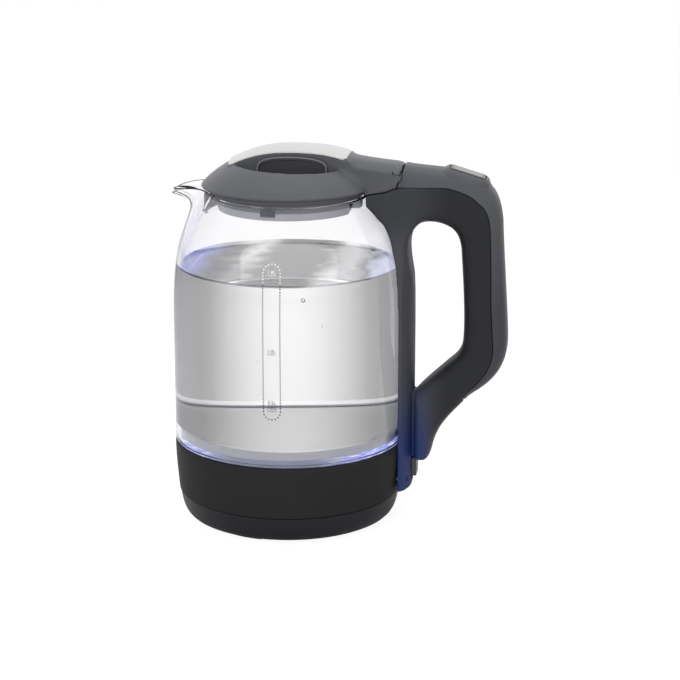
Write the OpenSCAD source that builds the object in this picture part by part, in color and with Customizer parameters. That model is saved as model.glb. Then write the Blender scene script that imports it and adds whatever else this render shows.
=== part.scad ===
// Cordless glass kettle with a hinged dome lid, a loop handle and a lit base.
// Frame: +Z up, spout towards -X, handle towards +X, feet on z = 0,
// origin under the power socket on the axis of the jug. Millimetres.

/* [Jug] */
// Outer radius of the glass jug
jug_r = 74; // [70:0.5:78]
// Thickness of the glass
glass_t = 2.8; // [2.2:0.1:3.4]
// Height of the glass from its foot to its rim
jug_h = 161.5; // [150:0.5:175]
// Outer radius of the glass rim
rim_r = 50.5; // [49:0.5:52]
// Reach of the spout's tip from the jug's axis
spout_reach = 74.9; // [70:0.5:78]
// Half of the angle that the spout takes out of the rim
spout_half = 26; // [22:1:30]

/* [Base] */
// Height of the rubber feet
foot_h = 1.5; // [1:0.1:2.5]
// Height of the bottom cover above the feet
cover_h = 16.7; // [14:0.5:20]
// Height of the shroud around the glass
shroud_h = 32.9; // [30:0.5:38]
// Wall of the shroud and of the bottom cover
base_t = 1.8; // [1.4:0.1:2.4]
// Shadow gap between the bottom cover and the shroud
base_gap = 0.6; // [0.3:0.1:1.2]
// Inset of the flat underside from the glass
under_inset = 12; // [10:0.5:14]
// Height of the heating plate above the foot of the glass
plate_lift = 7.3; // [6.5:0.1:9]
// Thickness of the heating plate
plate_t = 1.5; // [1:0.1:2]

/* [Power socket] */
// Radius of the socket's central hole
socket_bore_r = 3.6; // [3:0.1:4.2]
// Depth of the socket's central hole
socket_depth = 14; // [11:0.5:17]
// Outer radius of the socket's collar
socket_r = 17; // [15:0.5:19]

/* [Lid] */
// Radius of the dome at its lower edge
dome_r = 55; // [53.5:0.5:57]
// Height of the dome above its lower edge
dome_h = 26.4; // [23:0.2:30]
// Height of the flange under the dome
flange_h = 3.5; // [3:0.1:4.5]
// Radius of the plug that fills the neck
plug_r = 45.2; // [43:0.1:45.6]
// Depth of the plug below the flange
plug_h = 11.1; // [9:0.1:12]
// Wall of the lid's shell
lid_t = 2; // [1.6:0.1:2.6]
// Half width of the ridge and of the rear arm
ridge_half = 16.5; // [14:0.5:18]
// Thickness of the metal trim on the ridge
trim_t = 1; // [0.6:0.1:1.4]

/* [Handle] */
// Distance of the upper arm's front face from the glass
arm_reach = 10; // [9:0.5:12]
// Greatest distance of the handle from the glass
loop_reach = 67; // [62:0.5:72]
// Half width of the grip
grip_half = 14; // [12:0.5:16]
// Half width of the spine along the glass
spine_half = 17.5; // [15:0.5:19]
// Distance of the spine's outer face from the glass
spine_t = 7.8; // [7:0.1:9]
// Gap between the handle and the glass
glass_gap = 0.4; // [0.3:0.1:0.8]

/* [Button and latch] */
// Length of the thumb button
button_l = 23; // [20:0.5:25]
// Width of the thumb button
button_w = 15; // [12:0.5:17]
// Travel of the thumb button
button_travel = 2.5; // [2:0.1:3]
// Slope of the button's face, in degrees
button_slope = 16.5; // [13:0.1:18]
// Width of the latch slider
latch_w = 6; // [4:0.5:7]

/* [Switch] */
// Half width of the switch lever's thumb tab
tab_half = 6.5; // [5:0.5:7]
// Height of the switch lever's thumb tab
tab_h = 11.6; // [9:0.2:13]

/* [Fits] */
// Radial clearance of a pin that turns in its bore
pin_fit = 0.06; // [0.03:0.01:0.1]
// Clearance between pieces that slide or swing past each other
slide_gap = 0.4; // [0.3:0.05:0.6]
// Radius of the hinge pin
hinge_pin_r = 1.1; // [0.9:0.1:1.2]

/* [Hidden] */
$fn = 96;
e = 0.01;

// ---- Curves ---------------------------------------------------------------
function bez(p, n, from = 0) = [
  for (i = [from : n]) let (t = i / n)
    pow(1 - t, 3) * p[0] + 3 * t * pow(1 - t, 2) * p[1] + 3 * t * t * (1 - t) * p[2] + pow(t, 3) * p[3]
];
function unit(v) = v / norm(v);
// A copy of an open outline, moved by d to the left of its direction
function inset(p, d) = [
  for (i = [0 : len(p) - 1])
    let (a = p[max(i - 1, 0)], b = p[min(i + 1, len(p) - 1)], u = unit(b - a))
    p[i] + d * [-u[1], u[0]]
];
function flip(p) = [for (i = [len(p) - 1 : -1 : 0]) p[i]];
function mix(a, b, t) = a + (b - a) * t;

// Solid through rings of points, each ring with as many points, closed at both ends
module loft(rings, closed = false) {
  m = len(rings[0]);
  k = len(rings);
  last = closed ? k - 1 : k - 2;
  polyhedron(
    points = [for (r = rings) for (p = r) p],
    faces = concat(
      closed ? [] : [[for (j = [m - 1 : -1 : 0]) j]],
      [for (i = [0 : last]) for (j = [0 : m - 1]) let (n = (i + 1) % k)
        [n * m + (j + 1) % m, n * m + j, i * m + j]],
      [for (i = [0 : last]) for (j = [0 : m - 1]) let (n = (i + 1) % k)
        [i * m + (j + 1) % m, n * m + (j + 1) % m, i * m + j]],
      closed ? [] : [[for (j = [0 : m - 1]) (k - 1) * m + j]]
    ),
    convexity = 6
  );
}
// Outline in X and Z, given thickness along Y about y = 0
module slab(half) rotate([90, 0, 0]) linear_extrude(2 * half, center = true) children();
module at(angle, r) rotate([0, 0, angle]) translate([r, 0, 0]) children();
module ring(r_out, r_in, z0, z1) translate([0, 0, z0]) difference() {
  cylinder(r = r_out, h = z1 - z0);
  translate([0, 0, -e]) cylinder(r = r_in, h = z1 - z0 + 2 * e);
}

// ---- Heights of the stack -------------------------------------------------
cover_top = foot_h + cover_h;
shroud_z = cover_top + base_gap;
glass_z = shroud_z + shroud_h;
plate_z = glass_z + plate_lift;
rim_z = glass_z + jug_h;
flange_z = rim_z + 0.3;
dome_z = flange_z + flange_h;
plug_z = flange_z - plug_h;
crown_z = dome_z + dome_h;

// ---- Reaches from the jug's axis ------------------------------------------
under_r = jug_r - under_inset;
spine_x = jug_r + spine_t;
arm_x = jug_r + arm_reach;
grip_reach = jug_r + loop_reach;

// ---- Glass ----------------------------------------------------------------
neck_r = jug_r - 9.7;
neck_z = rim_z - 17.9;
shoulder_z = rim_z - 95.7;
rim_in = rim_r - glass_t - 0.2;
jug_in = jug_r - glass_t;
shoulder = [[jug_r, shoulder_z], [jug_r, rim_z - 65], [jug_r + 0.2, rim_z - 38.5], [neck_r, neck_z]];
neck_pull = [-6.4, 5];
rim_pull = [2.8, -3.7];
neck = [[neck_r, neck_z], [neck_r, neck_z] + neck_pull, [rim_r, rim_z] + rim_pull, [rim_r, rim_z]];
// Spout: a share of 1 at its middle falls to 0 at its edges
spout_drop = -3.4;
spout_rise = [1.6, 6.4];
spout_pull = [-13.9, -4.3];
throat_pull = [-2.8, 9.2];
function spout_at(a) = min(abs(a - 180) / spout_half, 1);
function spout_share(a) = (1 + cos(180 * spout_at(a))) / 2;
function spout_lift(s) = spout_drop * pow(1 - s, 3) + 3 * s * pow(1 - s, 2) * spout_rise[0]
  + 3 * s * s * (1 - s) * spout_rise[1];
// Neck and spout profile at the angle a round the axis
function neck_at(a) = let (
    w = spout_share(a),
    top = [mix(rim_r, spout_reach, w), rim_z + spout_lift(spout_at(a))])
  [[neck_r, neck_z], [neck_r, neck_z] + mix(neck_pull, throat_pull, w),
   top + mix(rim_pull, spout_pull, w), top];
neck_steps = 7;
shoulder_steps = 8;
spout_angles = concat([for (a = [-150 : 6 : 150]) a], [for (a = [155 : 4.5 : 205]) a]);
// Outer line of the glass at the angle a, from foot to rim
function glass_line(a) = concat([[jug_r, glass_z]], bez(shoulder, shoulder_steps), bez(neck_at(a), neck_steps, 1));
function glass_ring(a) = let (out = glass_line(a))
  [for (p = concat(out, flip(inset(out, glass_t)))) [p[0] * cos(a), p[0] * sin(a), p[1]]];
module glass_jug() color([0.82, 0.9, 0.95, 0.35]) loft([for (a = spout_angles) glass_ring(a)], true);
// Space that the glass takes up on the outside, grown by the gap
module glass_space() rotate_extrude() polygon(concat(
  [[0, glass_z - 60], [jug_r + glass_gap, glass_z - 60], [jug_r + glass_gap, glass_z]],
  inset(bez(shoulder, 12), -glass_gap), inset(bez(neck, 5), -glass_gap),
  [[rim_r + glass_gap, rim_z + glass_gap], [0, rim_z + glass_gap]]));

// ---- Base -----------------------------------------------------------------
shroud_r = jug_r + 0.3;
shroud_foot_r = shroud_r - 2.1;
shroud_in = shroud_foot_r - base_t;
ledge_in = jug_in - 4.2;
ledge_t = 2;
seal_r = jug_in - 0.2;
plate_r = jug_in - 2.3;
spreader_t = 3;
spreader_r = jug_r - 24;
element_r = spreader_r - 11;
element_tube = 4;
element_z = plate_z - spreader_t - element_tube;
clamp_r = jug_r - 14.5;
clamp_in = spreader_r + 2;
post_r = 3.2;
post_at = clamp_r - post_r - 0.6;
screw_r = 1.5;
control_x = 50;
control_y = 42;
control_z = 24;
control_h = 24;
screw_turn = 30;
light_in = clamp_r + 0.5;
light_low = glass_z - ledge_t;
led_count = 12;
board_t = 1.6;
led_h = 1.4;
feet_turn = 13;
foot_arc = 16;
foot_r = under_r - 1.5;
foot_w = 5.5;

module jug_seal() color([0.75, 0.77, 0.8]) difference() {
  ring(seal_r, plate_r - 1.7, plate_z - 2, plate_z + plate_t + 0.7);
  ring(plate_r + 0.05, 0, plate_z, plate_z + plate_t);
}
module heating_plate() color([0.78, 0.79, 0.8])
  translate([0, 0, plate_z]) cylinder(r = plate_r, h = plate_t);
module heat_spreader() color([0.7, 0.71, 0.72])
  translate([0, 0, plate_z - spreader_t]) cylinder(r = spreader_r, h = spreader_t);
module heating_element() color([0.45, 0.45, 0.46]) translate([0, 0, element_z])
  rotate([0, 0, 20]) rotate_extrude(angle = 320) translate([element_r, 0]) circle(r = element_tube);
module element_terminals() color([0.8, 0.7, 0.4]) for (s = [-1, 1])
  rotate([0, 0, s * 18.9]) translate([element_r, 0, element_z])
    rotate([90, 0, 0]) cylinder(r = 1.6, h = 1.4, center = true);
module clamp_ring() color([0.6, 0.61, 0.62]) {
  difference() {
    ring(clamp_r, clamp_in, plate_z - spreader_t, plate_z);
    for (k = [0 : 2]) at(screw_turn + 120 * k, post_at) translate([0, 0, plate_z - spreader_t - 1])
      cylinder(r = post_r - e, h = 1);
  }
  for (k = [0 : 2]) at(screw_turn + 120 * k, post_at) difference() {
    translate([0, 0, foot_h + base_t]) cylinder(r = post_r, h = plate_z - spreader_t - foot_h - base_t + e);
    translate([0, 0, foot_h + base_t - e]) cylinder(r = screw_r, h = 12);
  }
}
module light_ring() color([0.75, 0.8, 1, 0.7]) difference() {
  union() {
    ring(ledge_in - 0.2, light_in, light_low, plate_z - e);
    ring(jug_in - 0.3, light_in, glass_z, plate_z - 2);
  }
  ring(light_in + 5, light_in + 1.5, light_low - e, light_low + led_h + 0.4);
}
module led_board() color([0.1, 0.35, 0.2])
  ring(ledge_in - 0.2, light_in, light_low - board_t, light_low);
module leds() color([0.95, 0.95, 1]) for (k = [0 : led_count - 1])
  at(360 / led_count * (k + 0.5), light_in + 3.2) translate([0, 0, light_low + led_h / 2])
    cube([2.6, 3, led_h], center = true);
module led_wires() color([0.8, 0.2, 0.2]) for (s = [-1, 1])
  translate([0, s * (control_y / 2 + 1), light_low - board_t - 1]) rotate([0, -90, 0])
    translate([0, 0, 20]) cylinder(r = 0.9, h = 41);
module control_unit() color([0.9, 0.88, 0.82]) {
  difference() {
    translate([-control_x / 2, -control_y / 2, control_z]) cube([control_x, control_y, control_h]);
    for (s = [-1, 1]) translate([s * 14, 0, control_z + control_h - 4]) cylinder(r = 6, h = 5);
  }
  for (s = [-1, 1]) translate([s * 14, 0, control_z + control_h - 4])
    cylinder(r = 3, h = plate_z - spreader_t - 1.2 - control_z - control_h + 4);
  for (s = [-1, 1]) translate([-3, s * (control_y / 2 + 1) - 2.5, control_z + control_h - 8])
    cube([6, 5, 8 - e]);
  for (s = [-1, 1]) translate([control_x / 2 - 4, s * 15 - 2, control_z + control_h])
    cube([4, 4, plate_z - spreader_t - control_z - control_h]);
}
module bimetal_discs() color([0.72, 0.6, 0.35]) for (s = [-1, 1])
  translate([s * 14, 0, plate_z - spreader_t - 1.2]) cylinder(r = 9, h = 1);
module power_socket() color([0.12, 0.12, 0.13]) difference() {
  union() {
    translate([0, 0, foot_h]) cylinder(r = socket_r, h = control_z - foot_h);
    translate([0, 0, control_z - 2]) cylinder(r = socket_r + 3, h = 2);
  }
  translate([0, 0, foot_h - e]) cylinder(r = socket_bore_r, h = socket_depth + e);
  ring(socket_bore_r + 4.6, socket_bore_r + 2.2, foot_h - e, foot_h + socket_depth);
  ring(socket_bore_r + 10, socket_bore_r + 7.4, foot_h - e, foot_h + socket_depth);
}
module socket_contacts() color([0.85, 0.7, 0.35]) {
  ring(socket_bore_r + 4.6, socket_bore_r + 4.1, foot_h + 4, foot_h + socket_depth);
  ring(socket_bore_r + 10, socket_bore_r + 9.5, foot_h + 4, foot_h + socket_depth);
}

shroud_curve = [[shroud_foot_r, shroud_z], [shroud_foot_r + 1, shroud_z + shroud_h * 0.3],
  [shroud_r - 0.2, shroud_z + shroud_h * 0.6], [shroud_r, glass_z - 2.5]];
pivot_x = shroud_in - 6.5;
tab_mid = shroud_z + 15.7;
module switch_window(gap) translate([shroud_in - 3, -tab_half + 1.5 - gap, tab_mid - 4.5 - gap])
  cube([12, 2 * (tab_half - 1.5 + gap), 6.5 + 2 * gap]);
module base_shroud() color([0.16, 0.16, 0.16]) difference() {
  rotate_extrude() polygon(concat(
    [[shroud_in, shroud_z]], bez(shroud_curve, 8),
    [[shroud_r - 0.5, glass_z], [ledge_in, glass_z], [ledge_in, light_low], [shroud_in, light_low - 4]]));
  switch_window(1);
  for (s = [-1, 1]) translate([shroud_in - 4, s * spine_screw_y, spine_screw_z])
    rotate([0, 90, 0]) cylinder(r = screw_r + 0.1, h = 12);
}
cover_curve = [[under_r, foot_h], [under_r + 6.5, foot_h],
  [shroud_foot_r - 1.7, foot_h + cover_h * 0.42], [shroud_foot_r - 0.5, cover_top]];
module bottom_cover() color([0.13, 0.135, 0.15]) difference() {
  rotate_extrude() {
    polygon(concat(
      [[socket_r + 0.3, foot_h]], bez(cover_curve, 8),
      [[shroud_in - 0.2, cover_top], [shroud_in - 0.2, cover_top + 6],
       [shroud_in - 1.6, cover_top + 6], [shroud_in - 1.6, cover_top - 6]],
      [[under_r, foot_h + base_t], [socket_r + 0.3, foot_h + base_t]]));
  }
  for (k = [0 : 2]) at(screw_turn + 120 * k, post_at) {
    translate([0, 0, foot_h - e]) cylinder(r = screw_r + 0.1, h = base_t + 2 * e);
    translate([0, 0, foot_h - e]) cylinder(r = 2.8, h = 0.9);
  }
}
module feet() color([0.3, 0.3, 0.32]) for (k = [0 : 2]) rotate([0, 0, feet_turn + 120 * k - foot_arc / 2])
  rotate_extrude(angle = foot_arc) translate([foot_r - foot_w, 0]) square([foot_w, foot_h]);
module cover_screws() color([0.7, 0.7, 0.72]) for (k = [0 : 2]) at(screw_turn + 120 * k, post_at) {
  translate([0, 0, foot_h + 0.1]) cylinder(r = 2.6, h = 0.75);
  translate([0, 0, foot_h + 0.8]) cylinder(r = screw_r - 0.05, h = 11);
}

// ---- Hinge, latch and button lines ----------------------------------------
hinge_x = jug_r - 3.4;
hinge_z = crown_z - 13;
barrel_r = 3;
lug_r = 2;
knuckle_half = 5;
lug_out = 8.6;
latch_ratio = 1.2;
slider_travel = button_travel * latch_ratio;
cheek_in = 12;
part_gap = 0.6;
part_slope = 19.2;
part_n = [cos(part_slope), -sin(part_slope)];
part_u = [sin(part_slope), cos(part_slope)];
top_end_z = hinge_z + barrel_r;
// Point on the slanted face between the lid and the cover, d from the hinge axis and h along the face
function part_point(d, h) = [hinge_x, hinge_z] + d * part_n + h * part_u;
cover_front = part_point(barrel_r + part_gap, 4);
// Parting line between the lid and the bracket under it
part_line = [[rim_r + 1, rim_z + 1.7], [hinge_x - 6.6, rim_z + 3.9], [hinge_x - 2.4, rim_z + 5.9], [hinge_x - 0.6, rim_z + 6.2]];
arm_split_z = rim_z + 6.8;
hook_x = rim_r + 7.5;
hook_w = 3.4;
hook_low = rim_z - 4.6;
nose_x = hook_x + hook_w + 0.4;
latch_low = hook_low + 2.2;
latch_h = 3;
button_x = arm_x + 30;
button_z = rim_z + 15.1;
stem_l = 5;
press = [-sin(button_slope), 0, -cos(button_slope)];
module button_frame() translate([button_x, 0, button_z]) rotate([0, button_slope, 0]) children();
spine_screw_y = 11.5;
spine_screw_z = shroud_z + 9.2;

// ---- Handle ---------------------------------------------------------------
grip_gap = 0.15;
lower_z = shroud_z + 22.7;
back_low_x = spine_x + 0.4;
elbow_z = lower_z + 81.4;
// Outer and inner lines of the loop, in X and Z, from the front end to the foot
outer_line = concat(
  bez([cover_front, cover_front + [7, -1.2], [arm_x + 11, top_end_z - 2.4], [arm_x + 16, top_end_z - 3]], 4),
  bez([[arm_x + 16, top_end_z - 3], [arm_x + 26, top_end_z - 2.8], [grip_reach - 17, top_end_z - 4.4],
       [grip_reach - 11.4, rim_z + 5.2]], 5, 1),
  bez([[grip_reach - 11.4, rim_z + 5.2], [grip_reach - 9.4, rim_z + 3.2], [grip_reach - 6.1, rim_z - 1.6],
       [grip_reach - 4.5, rim_z - 15.1]], 5, 1),
  bez([[grip_reach - 4.5, rim_z - 15.1], [grip_reach - 3.9, rim_z - 33], [grip_reach, elbow_z + 10],
       [grip_reach, elbow_z]], 5, 1),
  bez([[grip_reach, elbow_z], [grip_reach + 1.1, elbow_z - 29], [arm_x + 34, elbow_z - 35.6],
       [arm_x + 31.5, elbow_z - 41]], 6, 1),
  bez([[arm_x + 31.5, elbow_z - 41], [arm_x + 20, elbow_z - 53], [arm_x + 13, elbow_z - 60],
       [arm_x + 9.8, lower_z + 7]], 5, 1),
  bez([[arm_x + 9.8, lower_z + 7], [arm_x + 9.3, lower_z + 5], [arm_x + 8.8, lower_z + 2],
       [arm_x + 6.8, lower_z]], 3, 1));
inner_line = concat(
  bez([cover_front - 42 * part_u, [arm_x - 14, rim_z - 21], [arm_x - 7, rim_z - 20.5], [arm_x, rim_z - 17.9]], 4),
  bez([[arm_x, rim_z - 17.9], [arm_x + 4, rim_z - 15.4], [arm_x + 13, rim_z - 16.2],
       [arm_x + 19, rim_z - 19.3]], 5, 1),
  bez([[arm_x + 19, rim_z - 19.3], [arm_x + 25, rim_z - 22.5], [arm_x + 26.6, rim_z - 29],
       [arm_x + 27, rim_z - 37.6]], 5, 1),
  bez([[arm_x + 27, rim_z - 37.6], [arm_x + 28.5, rim_z - 59], [arm_x + 29.6, elbow_z + 13],
       [arm_x + 28.8, elbow_z - 0.8]], 5, 1),
  bez([[arm_x + 28.8, elbow_z - 0.8], [arm_x + 28.2, elbow_z - 12], [arm_x + 22, elbow_z - 14.5],
       [arm_x + 16.5, elbow_z - 20]], 6, 1),
  bez([[arm_x + 16.5, elbow_z - 20], [arm_x + 10, elbow_z - 26], [arm_x + 4, elbow_z - 31],
       [back_low_x, elbow_z - 38]], 5, 1),
  bez([[back_low_x, elbow_z - 38], [back_low_x, lower_z + 25], [back_low_x, lower_z + 8],
       [back_low_x, lower_z]], 3, 1));
stations = len(outer_line) - 1;
// Thickness of the cover, from its front end to where it runs out on the lower arm
cover_t = concat([14, 13.2, 12.4, 11.8, 11.4], [11.6, 12.4, 12.8, 12.2, 11],
  [10.4, 9.8, 9.4, 9.2, 9.2], [9.2, 9.1, 9.1, 9, 8.8], [7.8, 6.8, 5.6, 4.4, 3.4, 2.6]);
cover_stations = len(cover_t) - 1;
// Superellipse section: n runs from the inner to the outer line, y across
section_e = 0.62;
function spow(v, p) = sign(v) * pow(abs(v), p);
function section_at(i, n, y) = let (
    mid = (outer_line[i] + inner_line[i]) / 2,
    u = unit(outer_line[i] - inner_line[i]))
  [mid[0] + u[0] * n, y, mid[1] + u[1] * n];
half_t = [for (i = [0 : stations]) norm(outer_line[i] - inner_line[i]) / 2];
// Angle on the section at which the parting line is reached
function split_angle(i, gap) = let (c = (half_t[i] - cover_t[i] - gap) / half_t[i])
  acos(spow(c, 1 / section_e));
section_n = 18;
function cover_ring(i) = let (s = split_angle(i, 0)) [
  for (k = [0 : section_n]) let (a = mix(-s, s, k / section_n))
    section_at(i, half_t[i] * spow(cos(a), section_e), grip_half * spow(sin(a), section_e))
];
function grip_ring(i) = let (s = i <= cover_stations ? split_angle(i, grip_gap) : 180 / (section_n + 1)) [
  for (k = [0 : section_n]) let (a = mix(s, 360 - s, k / section_n))
    section_at(i, half_t[i] * spow(cos(a), section_e), grip_half * spow(sin(a), section_e))
];
bezel_low = 6.5;
spring_at = 8.2;
spring_low = 8.4;
block_x = button_x - 7;
block_l = 7.3;
block_h = 6.2;
module button_well() button_frame() {
  translate([0, 0, 5 - bezel_low / 2]) cube([button_l + 2.2, button_w + 2.2, 10 + bezel_low], center = true);
  translate([spring_at, 0, -spring_low]) cylinder(r = 2.6, h = spring_low);
}
module stem_well(grow) button_frame() translate([0, 0, -10])
  cube([stem_l + 2 * grow, latch_w + 2 * grow, 20], center = true);
module latch_space(grow) {
  translate([nose_x - grow, -latch_w / 2 - grow, latch_low - grow])
    cube([block_x + block_l + slider_travel - nose_x + 2 * grow, latch_w + 2 * grow, latch_h + 2 * grow]);
  translate([block_x - grow, -latch_w / 2 - grow, latch_low - grow])
    cube([block_l + slider_travel + 2 * grow, latch_w + 2 * grow, latch_h + block_h + 2 * grow]);
}
module handle_cover() color([0.36, 0.365, 0.38]) difference() {
  loft([for (i = [0 : cover_stations]) cover_ring(i)]);
  button_well();
  stem_well(slide_gap + 0.6);
  latch_space(slide_gap);
  for (k = [0 : 2]) grip_screw_place(k) cylinder(r = screw_r, h = k < 2 ? 27 : 22);
}
module grip_screw_place(k) translate(k < 2 ? [arm_x + 8, (2 * k - 1) * 8, rim_z - 16] : [arm_x + 27.5, 0, rim_z - 72])
  rotate(k < 2 ? [0, 0, 0] : [0, 90, 0]) children();
module handle_grip() color([0.2, 0.205, 0.22]) difference() {
  loft([for (i = [0 : stations]) grip_ring(i)]);
  translate([arm_x - 40, -40, rim_z - 60]) cube([40 + grip_gap, 80, 80]);
  stem_well(slide_gap + 0.6);
  latch_space(slide_gap);
  for (k = [0 : 2]) grip_screw_place(k) {
    cylinder(r = screw_r + 0.1, h = 40);
    translate([0, 0, -1]) cylinder(r = 3, h = 4);
  }
}
module grip_screws() color([0.7, 0.7, 0.72]) for (k = [0 : 2]) grip_screw_place(k) {
  translate([0, 0, 1.6]) cylinder(r = 2.7, h = 1.4);
  translate([0, 0, 3 - e]) cylinder(r = screw_r - 0.05, h = k < 2 ? 23 : 18);
}
spine_low = shroud_z + 1.7;
clip_half = 9;
clip_x = rim_in - 6.4;
spine_outline = concat(
  [for (p = part_line) p - [0, 0.5]],
  [[hinge_x + 3, arm_split_z - 0.6], [arm_x, arm_split_z - 0.4]],
  [[arm_x, rim_z - 17.9]],
  bez([[spine_x + 0.3, rim_z - 18.9], [spine_x - 6.8, rim_z - 29], [spine_x - 3.3, rim_z - 40],
       [spine_x - 1.2, rim_z - 52]], 6),
  bez([[spine_x - 1.2, rim_z - 52], [spine_x - 0.4, rim_z - 58], [spine_x, rim_z - 80], [spine_x, rim_z - 95]], 3, 1),
  [[spine_x, spine_low + 5.5]],
  bez([[spine_x, spine_low + 5.5], [spine_x, spine_low + 1.5], [spine_x - 2.8, spine_low], [jug_r - 1, spine_low]], 4, 1),
  [[rim_r + 1, spine_low]]);
module handle_spine() color([0.2, 0.205, 0.22]) {
  difference() {
    intersection() {
      slab(spine_half) polygon(spine_outline);
      union() {
        translate([spine_x - 24, 0, 0]) cylinder(r = 24, h = rim_z - 26);
        translate([0, 0, rim_z - 26 - e]) linear_extrude(60) polygon([[0, -spine_half], [spine_x - 12, -spine_half],
          [arm_x, -grip_half], [arm_x, grip_half], [spine_x - 12, spine_half], [0, spine_half]]);
      }
    }
    glass_space();
    // Notch for the thumb tab, the lever's slot and the steam passage
    translate([spine_x - 3.4, -tab_half - 0.8, tab_mid - tab_h / 2 - 5]) cube([9, 2 * tab_half + 1.6, tab_h + 6.5]);
    switch_window(1);
    translate([steam_x, 0, tab_mid]) cylinder(r = steam_r, h = rim_z - 66 - tab_mid);
    for (s = [-1, 1]) translate([shroud_in - 4, s * spine_screw_y, spine_screw_z])
      rotate([0, 90, 0]) cylinder(r = screw_r, h = 13);
    // Slot for the lid's catch and the channel of the latch
    translate([rim_r + 0.8, -latch_w / 2 - 0.8, hook_low - 1]) cube([hook_x + hook_w + 1 - rim_r - 0.8, latch_w + 1.6, 30]);
    latch_space(slide_gap);
  }
  // Tongue over the rim and the clip that holds the neck from inside
  difference() {
    slab(clip_half) polygon([[clip_x, rim_z - 8.8], [clip_x, rim_z + 1.1], [rim_r + 3, rim_z + 1.4],
      [rim_r + 3, rim_z + glass_gap], [rim_in - glass_gap, rim_z + glass_gap], [rim_in - glass_gap, rim_z - 8.8]]);
    translate([0, 0, rim_z - 20]) ring(rim_r + 1, rim_in - glass_gap, 0, 20 + glass_gap);
    translate([0, -latch_w / 2 - 0.8, rim_z - 20]) translate([rim_r + 0.8, 0, 0]) cube([20, latch_w + 1.6, 60]);
  }
  // Lugs that carry the hinge pin
  for (s = [-1, 1]) difference() {
    translate([0, s * (knuckle_half + 0.4 + lug_out) / 2, 0]) slab((lug_out - knuckle_half - 0.4) / 2) union() {
      translate([hinge_x, hinge_z]) circle(r = lug_r);
      polygon([part_point(-lug_r, 0), part_point(lug_r, 0), part_point(lug_r, -13), part_point(-lug_r, -13)]);
    }
    translate([hinge_x, 0, hinge_z]) rotate([90, 0, 0]) cylinder(r = hinge_pin_r, h = 60, center = true);
  }
}
steam_x = spine_x - 3.7;
steam_r = 2.2;
steam_low = tab_mid + 14;
steam_l = rim_z - 94.7 - steam_low;
module steam_tube() color([0.85, 0.85, 0.87]) translate([steam_x, 0, steam_low]) difference() {
  cylinder(r = steam_r, h = steam_l);
  translate([0, 0, -e]) cylinder(r = steam_r - 0.8, h = steam_l + 1);
}
module spine_screws() color([0.7, 0.7, 0.72]) for (s = [-1, 1])
  translate([shroud_in - 3, s * spine_screw_y, spine_screw_z]) rotate([0, 90, 0]) {
    cylinder(r = 2.6, h = 1.3);
    translate([0, 0, 1.2]) cylinder(r = screw_r - 0.05, h = 9);
  }
module hinge_pin() color([0.75, 0.75, 0.77]) translate([hinge_x, 0, hinge_z])
  rotate([90, 0, 0]) cylinder(r = hinge_pin_r, h = 2 * ridge_half - 3, center = true);
module hinge_springs() color([0.7, 0.7, 0.72]) for (s = [-1, 1])
  translate([hinge_x, s * (lug_out + cheek_in) / 2, hinge_z]) rotate([90, 0, 0]) difference() {
    cylinder(r = lug_r - 0.2, h = cheek_in - lug_out - 0.8, center = true);
    cylinder(r = hinge_pin_r, h = 20, center = true);
  }

// ---- Spout filter ---------------------------------------------------------
filter_r = mix(rim_r, spout_reach, 0.086);
filter_turn = 18;
filter_low = rim_z - 13;
filter_high = rim_z - 1.8;
module filter_arc(r0, r1, z0, z1, turn) rotate([0, 0, 180 - turn]) rotate_extrude(angle = 2 * turn)
  translate([r0, z0]) square([r1 - r0, z1 - z0]);
module spout_filter_frame() color([0.55, 0.56, 0.58]) difference() {
  filter_arc(filter_r - 1.6, filter_r, filter_low, filter_high, filter_turn);
  filter_arc(filter_r - 3, filter_r + 1, filter_low + 1.6, filter_high - 1.6, filter_turn - 2);
}
module spout_filter_mesh() color([0.65, 0.66, 0.68])
  filter_arc(filter_r - 1, filter_r - 0.6, filter_low + 1.6, filter_high - 1.6, filter_turn - 2);

button_t = 2.6;
// ---- Button and latch -----------------------------------------------------
module button_bezel() color([0.1, 0.1, 0.11]) button_frame() difference() {
  translate([0, 0, 0.2 - bezel_low / 2]) cube([button_l + 2, button_w + 2, bezel_low], center = true);
  cube([button_l + 0.8, button_w + 0.8, 20], center = true);
}
module button_spring() color([0.7, 0.7, 0.72]) button_frame() difference() {
  translate([spring_at, 0, -spring_low]) cylinder(r = 2.4, h = spring_low - button_t);
  translate([spring_at, 0, -spring_low - 1]) cylinder(r = 1.7, h = spring_low);
}
module release_button() color([0.75, 0.76, 0.77]) difference() {
  button_frame() {
    translate([0, 0, 0.1 - button_t / 2]) cube([button_l, button_w, button_t], center = true);
    translate([0, 0, -10]) cube([stem_l, latch_w, 17], center = true);
  }
  wedge(0.12, 1);
}
// Ramp that runs along the relative motion of the stem and the slider
ramp = [press[0] - latch_ratio, press[2]];
ramp_n = unit([ramp[1], -ramp[0]]);
ramp_p = [button_x - 5.5, latch_low + latch_h + 2.8];
module wedge(off, side) rotate([90, 0, 0]) linear_extrude(40, center = true) let (
    u = unit(ramp), p = ramp_p + off * side * ramp_n)
  polygon([p + 40 * u, p - 40 * u, p - 40 * u - side * 40 * ramp_n, p + 40 * u - side * 40 * ramp_n]);
module latch_slider() color([0.85, 0.85, 0.85]) difference() {
  union() {
    translate([nose_x, -latch_w / 2, latch_low]) cube([block_x + block_l - nose_x, latch_w, latch_h]);
    translate([block_x, -latch_w / 2, latch_low]) cube([block_l, latch_w, latch_h + block_h]);
  }
  intersection() {
    wedge(0, -1);
    translate([0, -20, latch_low + latch_h]) cube([200, 40, 40]);
  }
}

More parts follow.
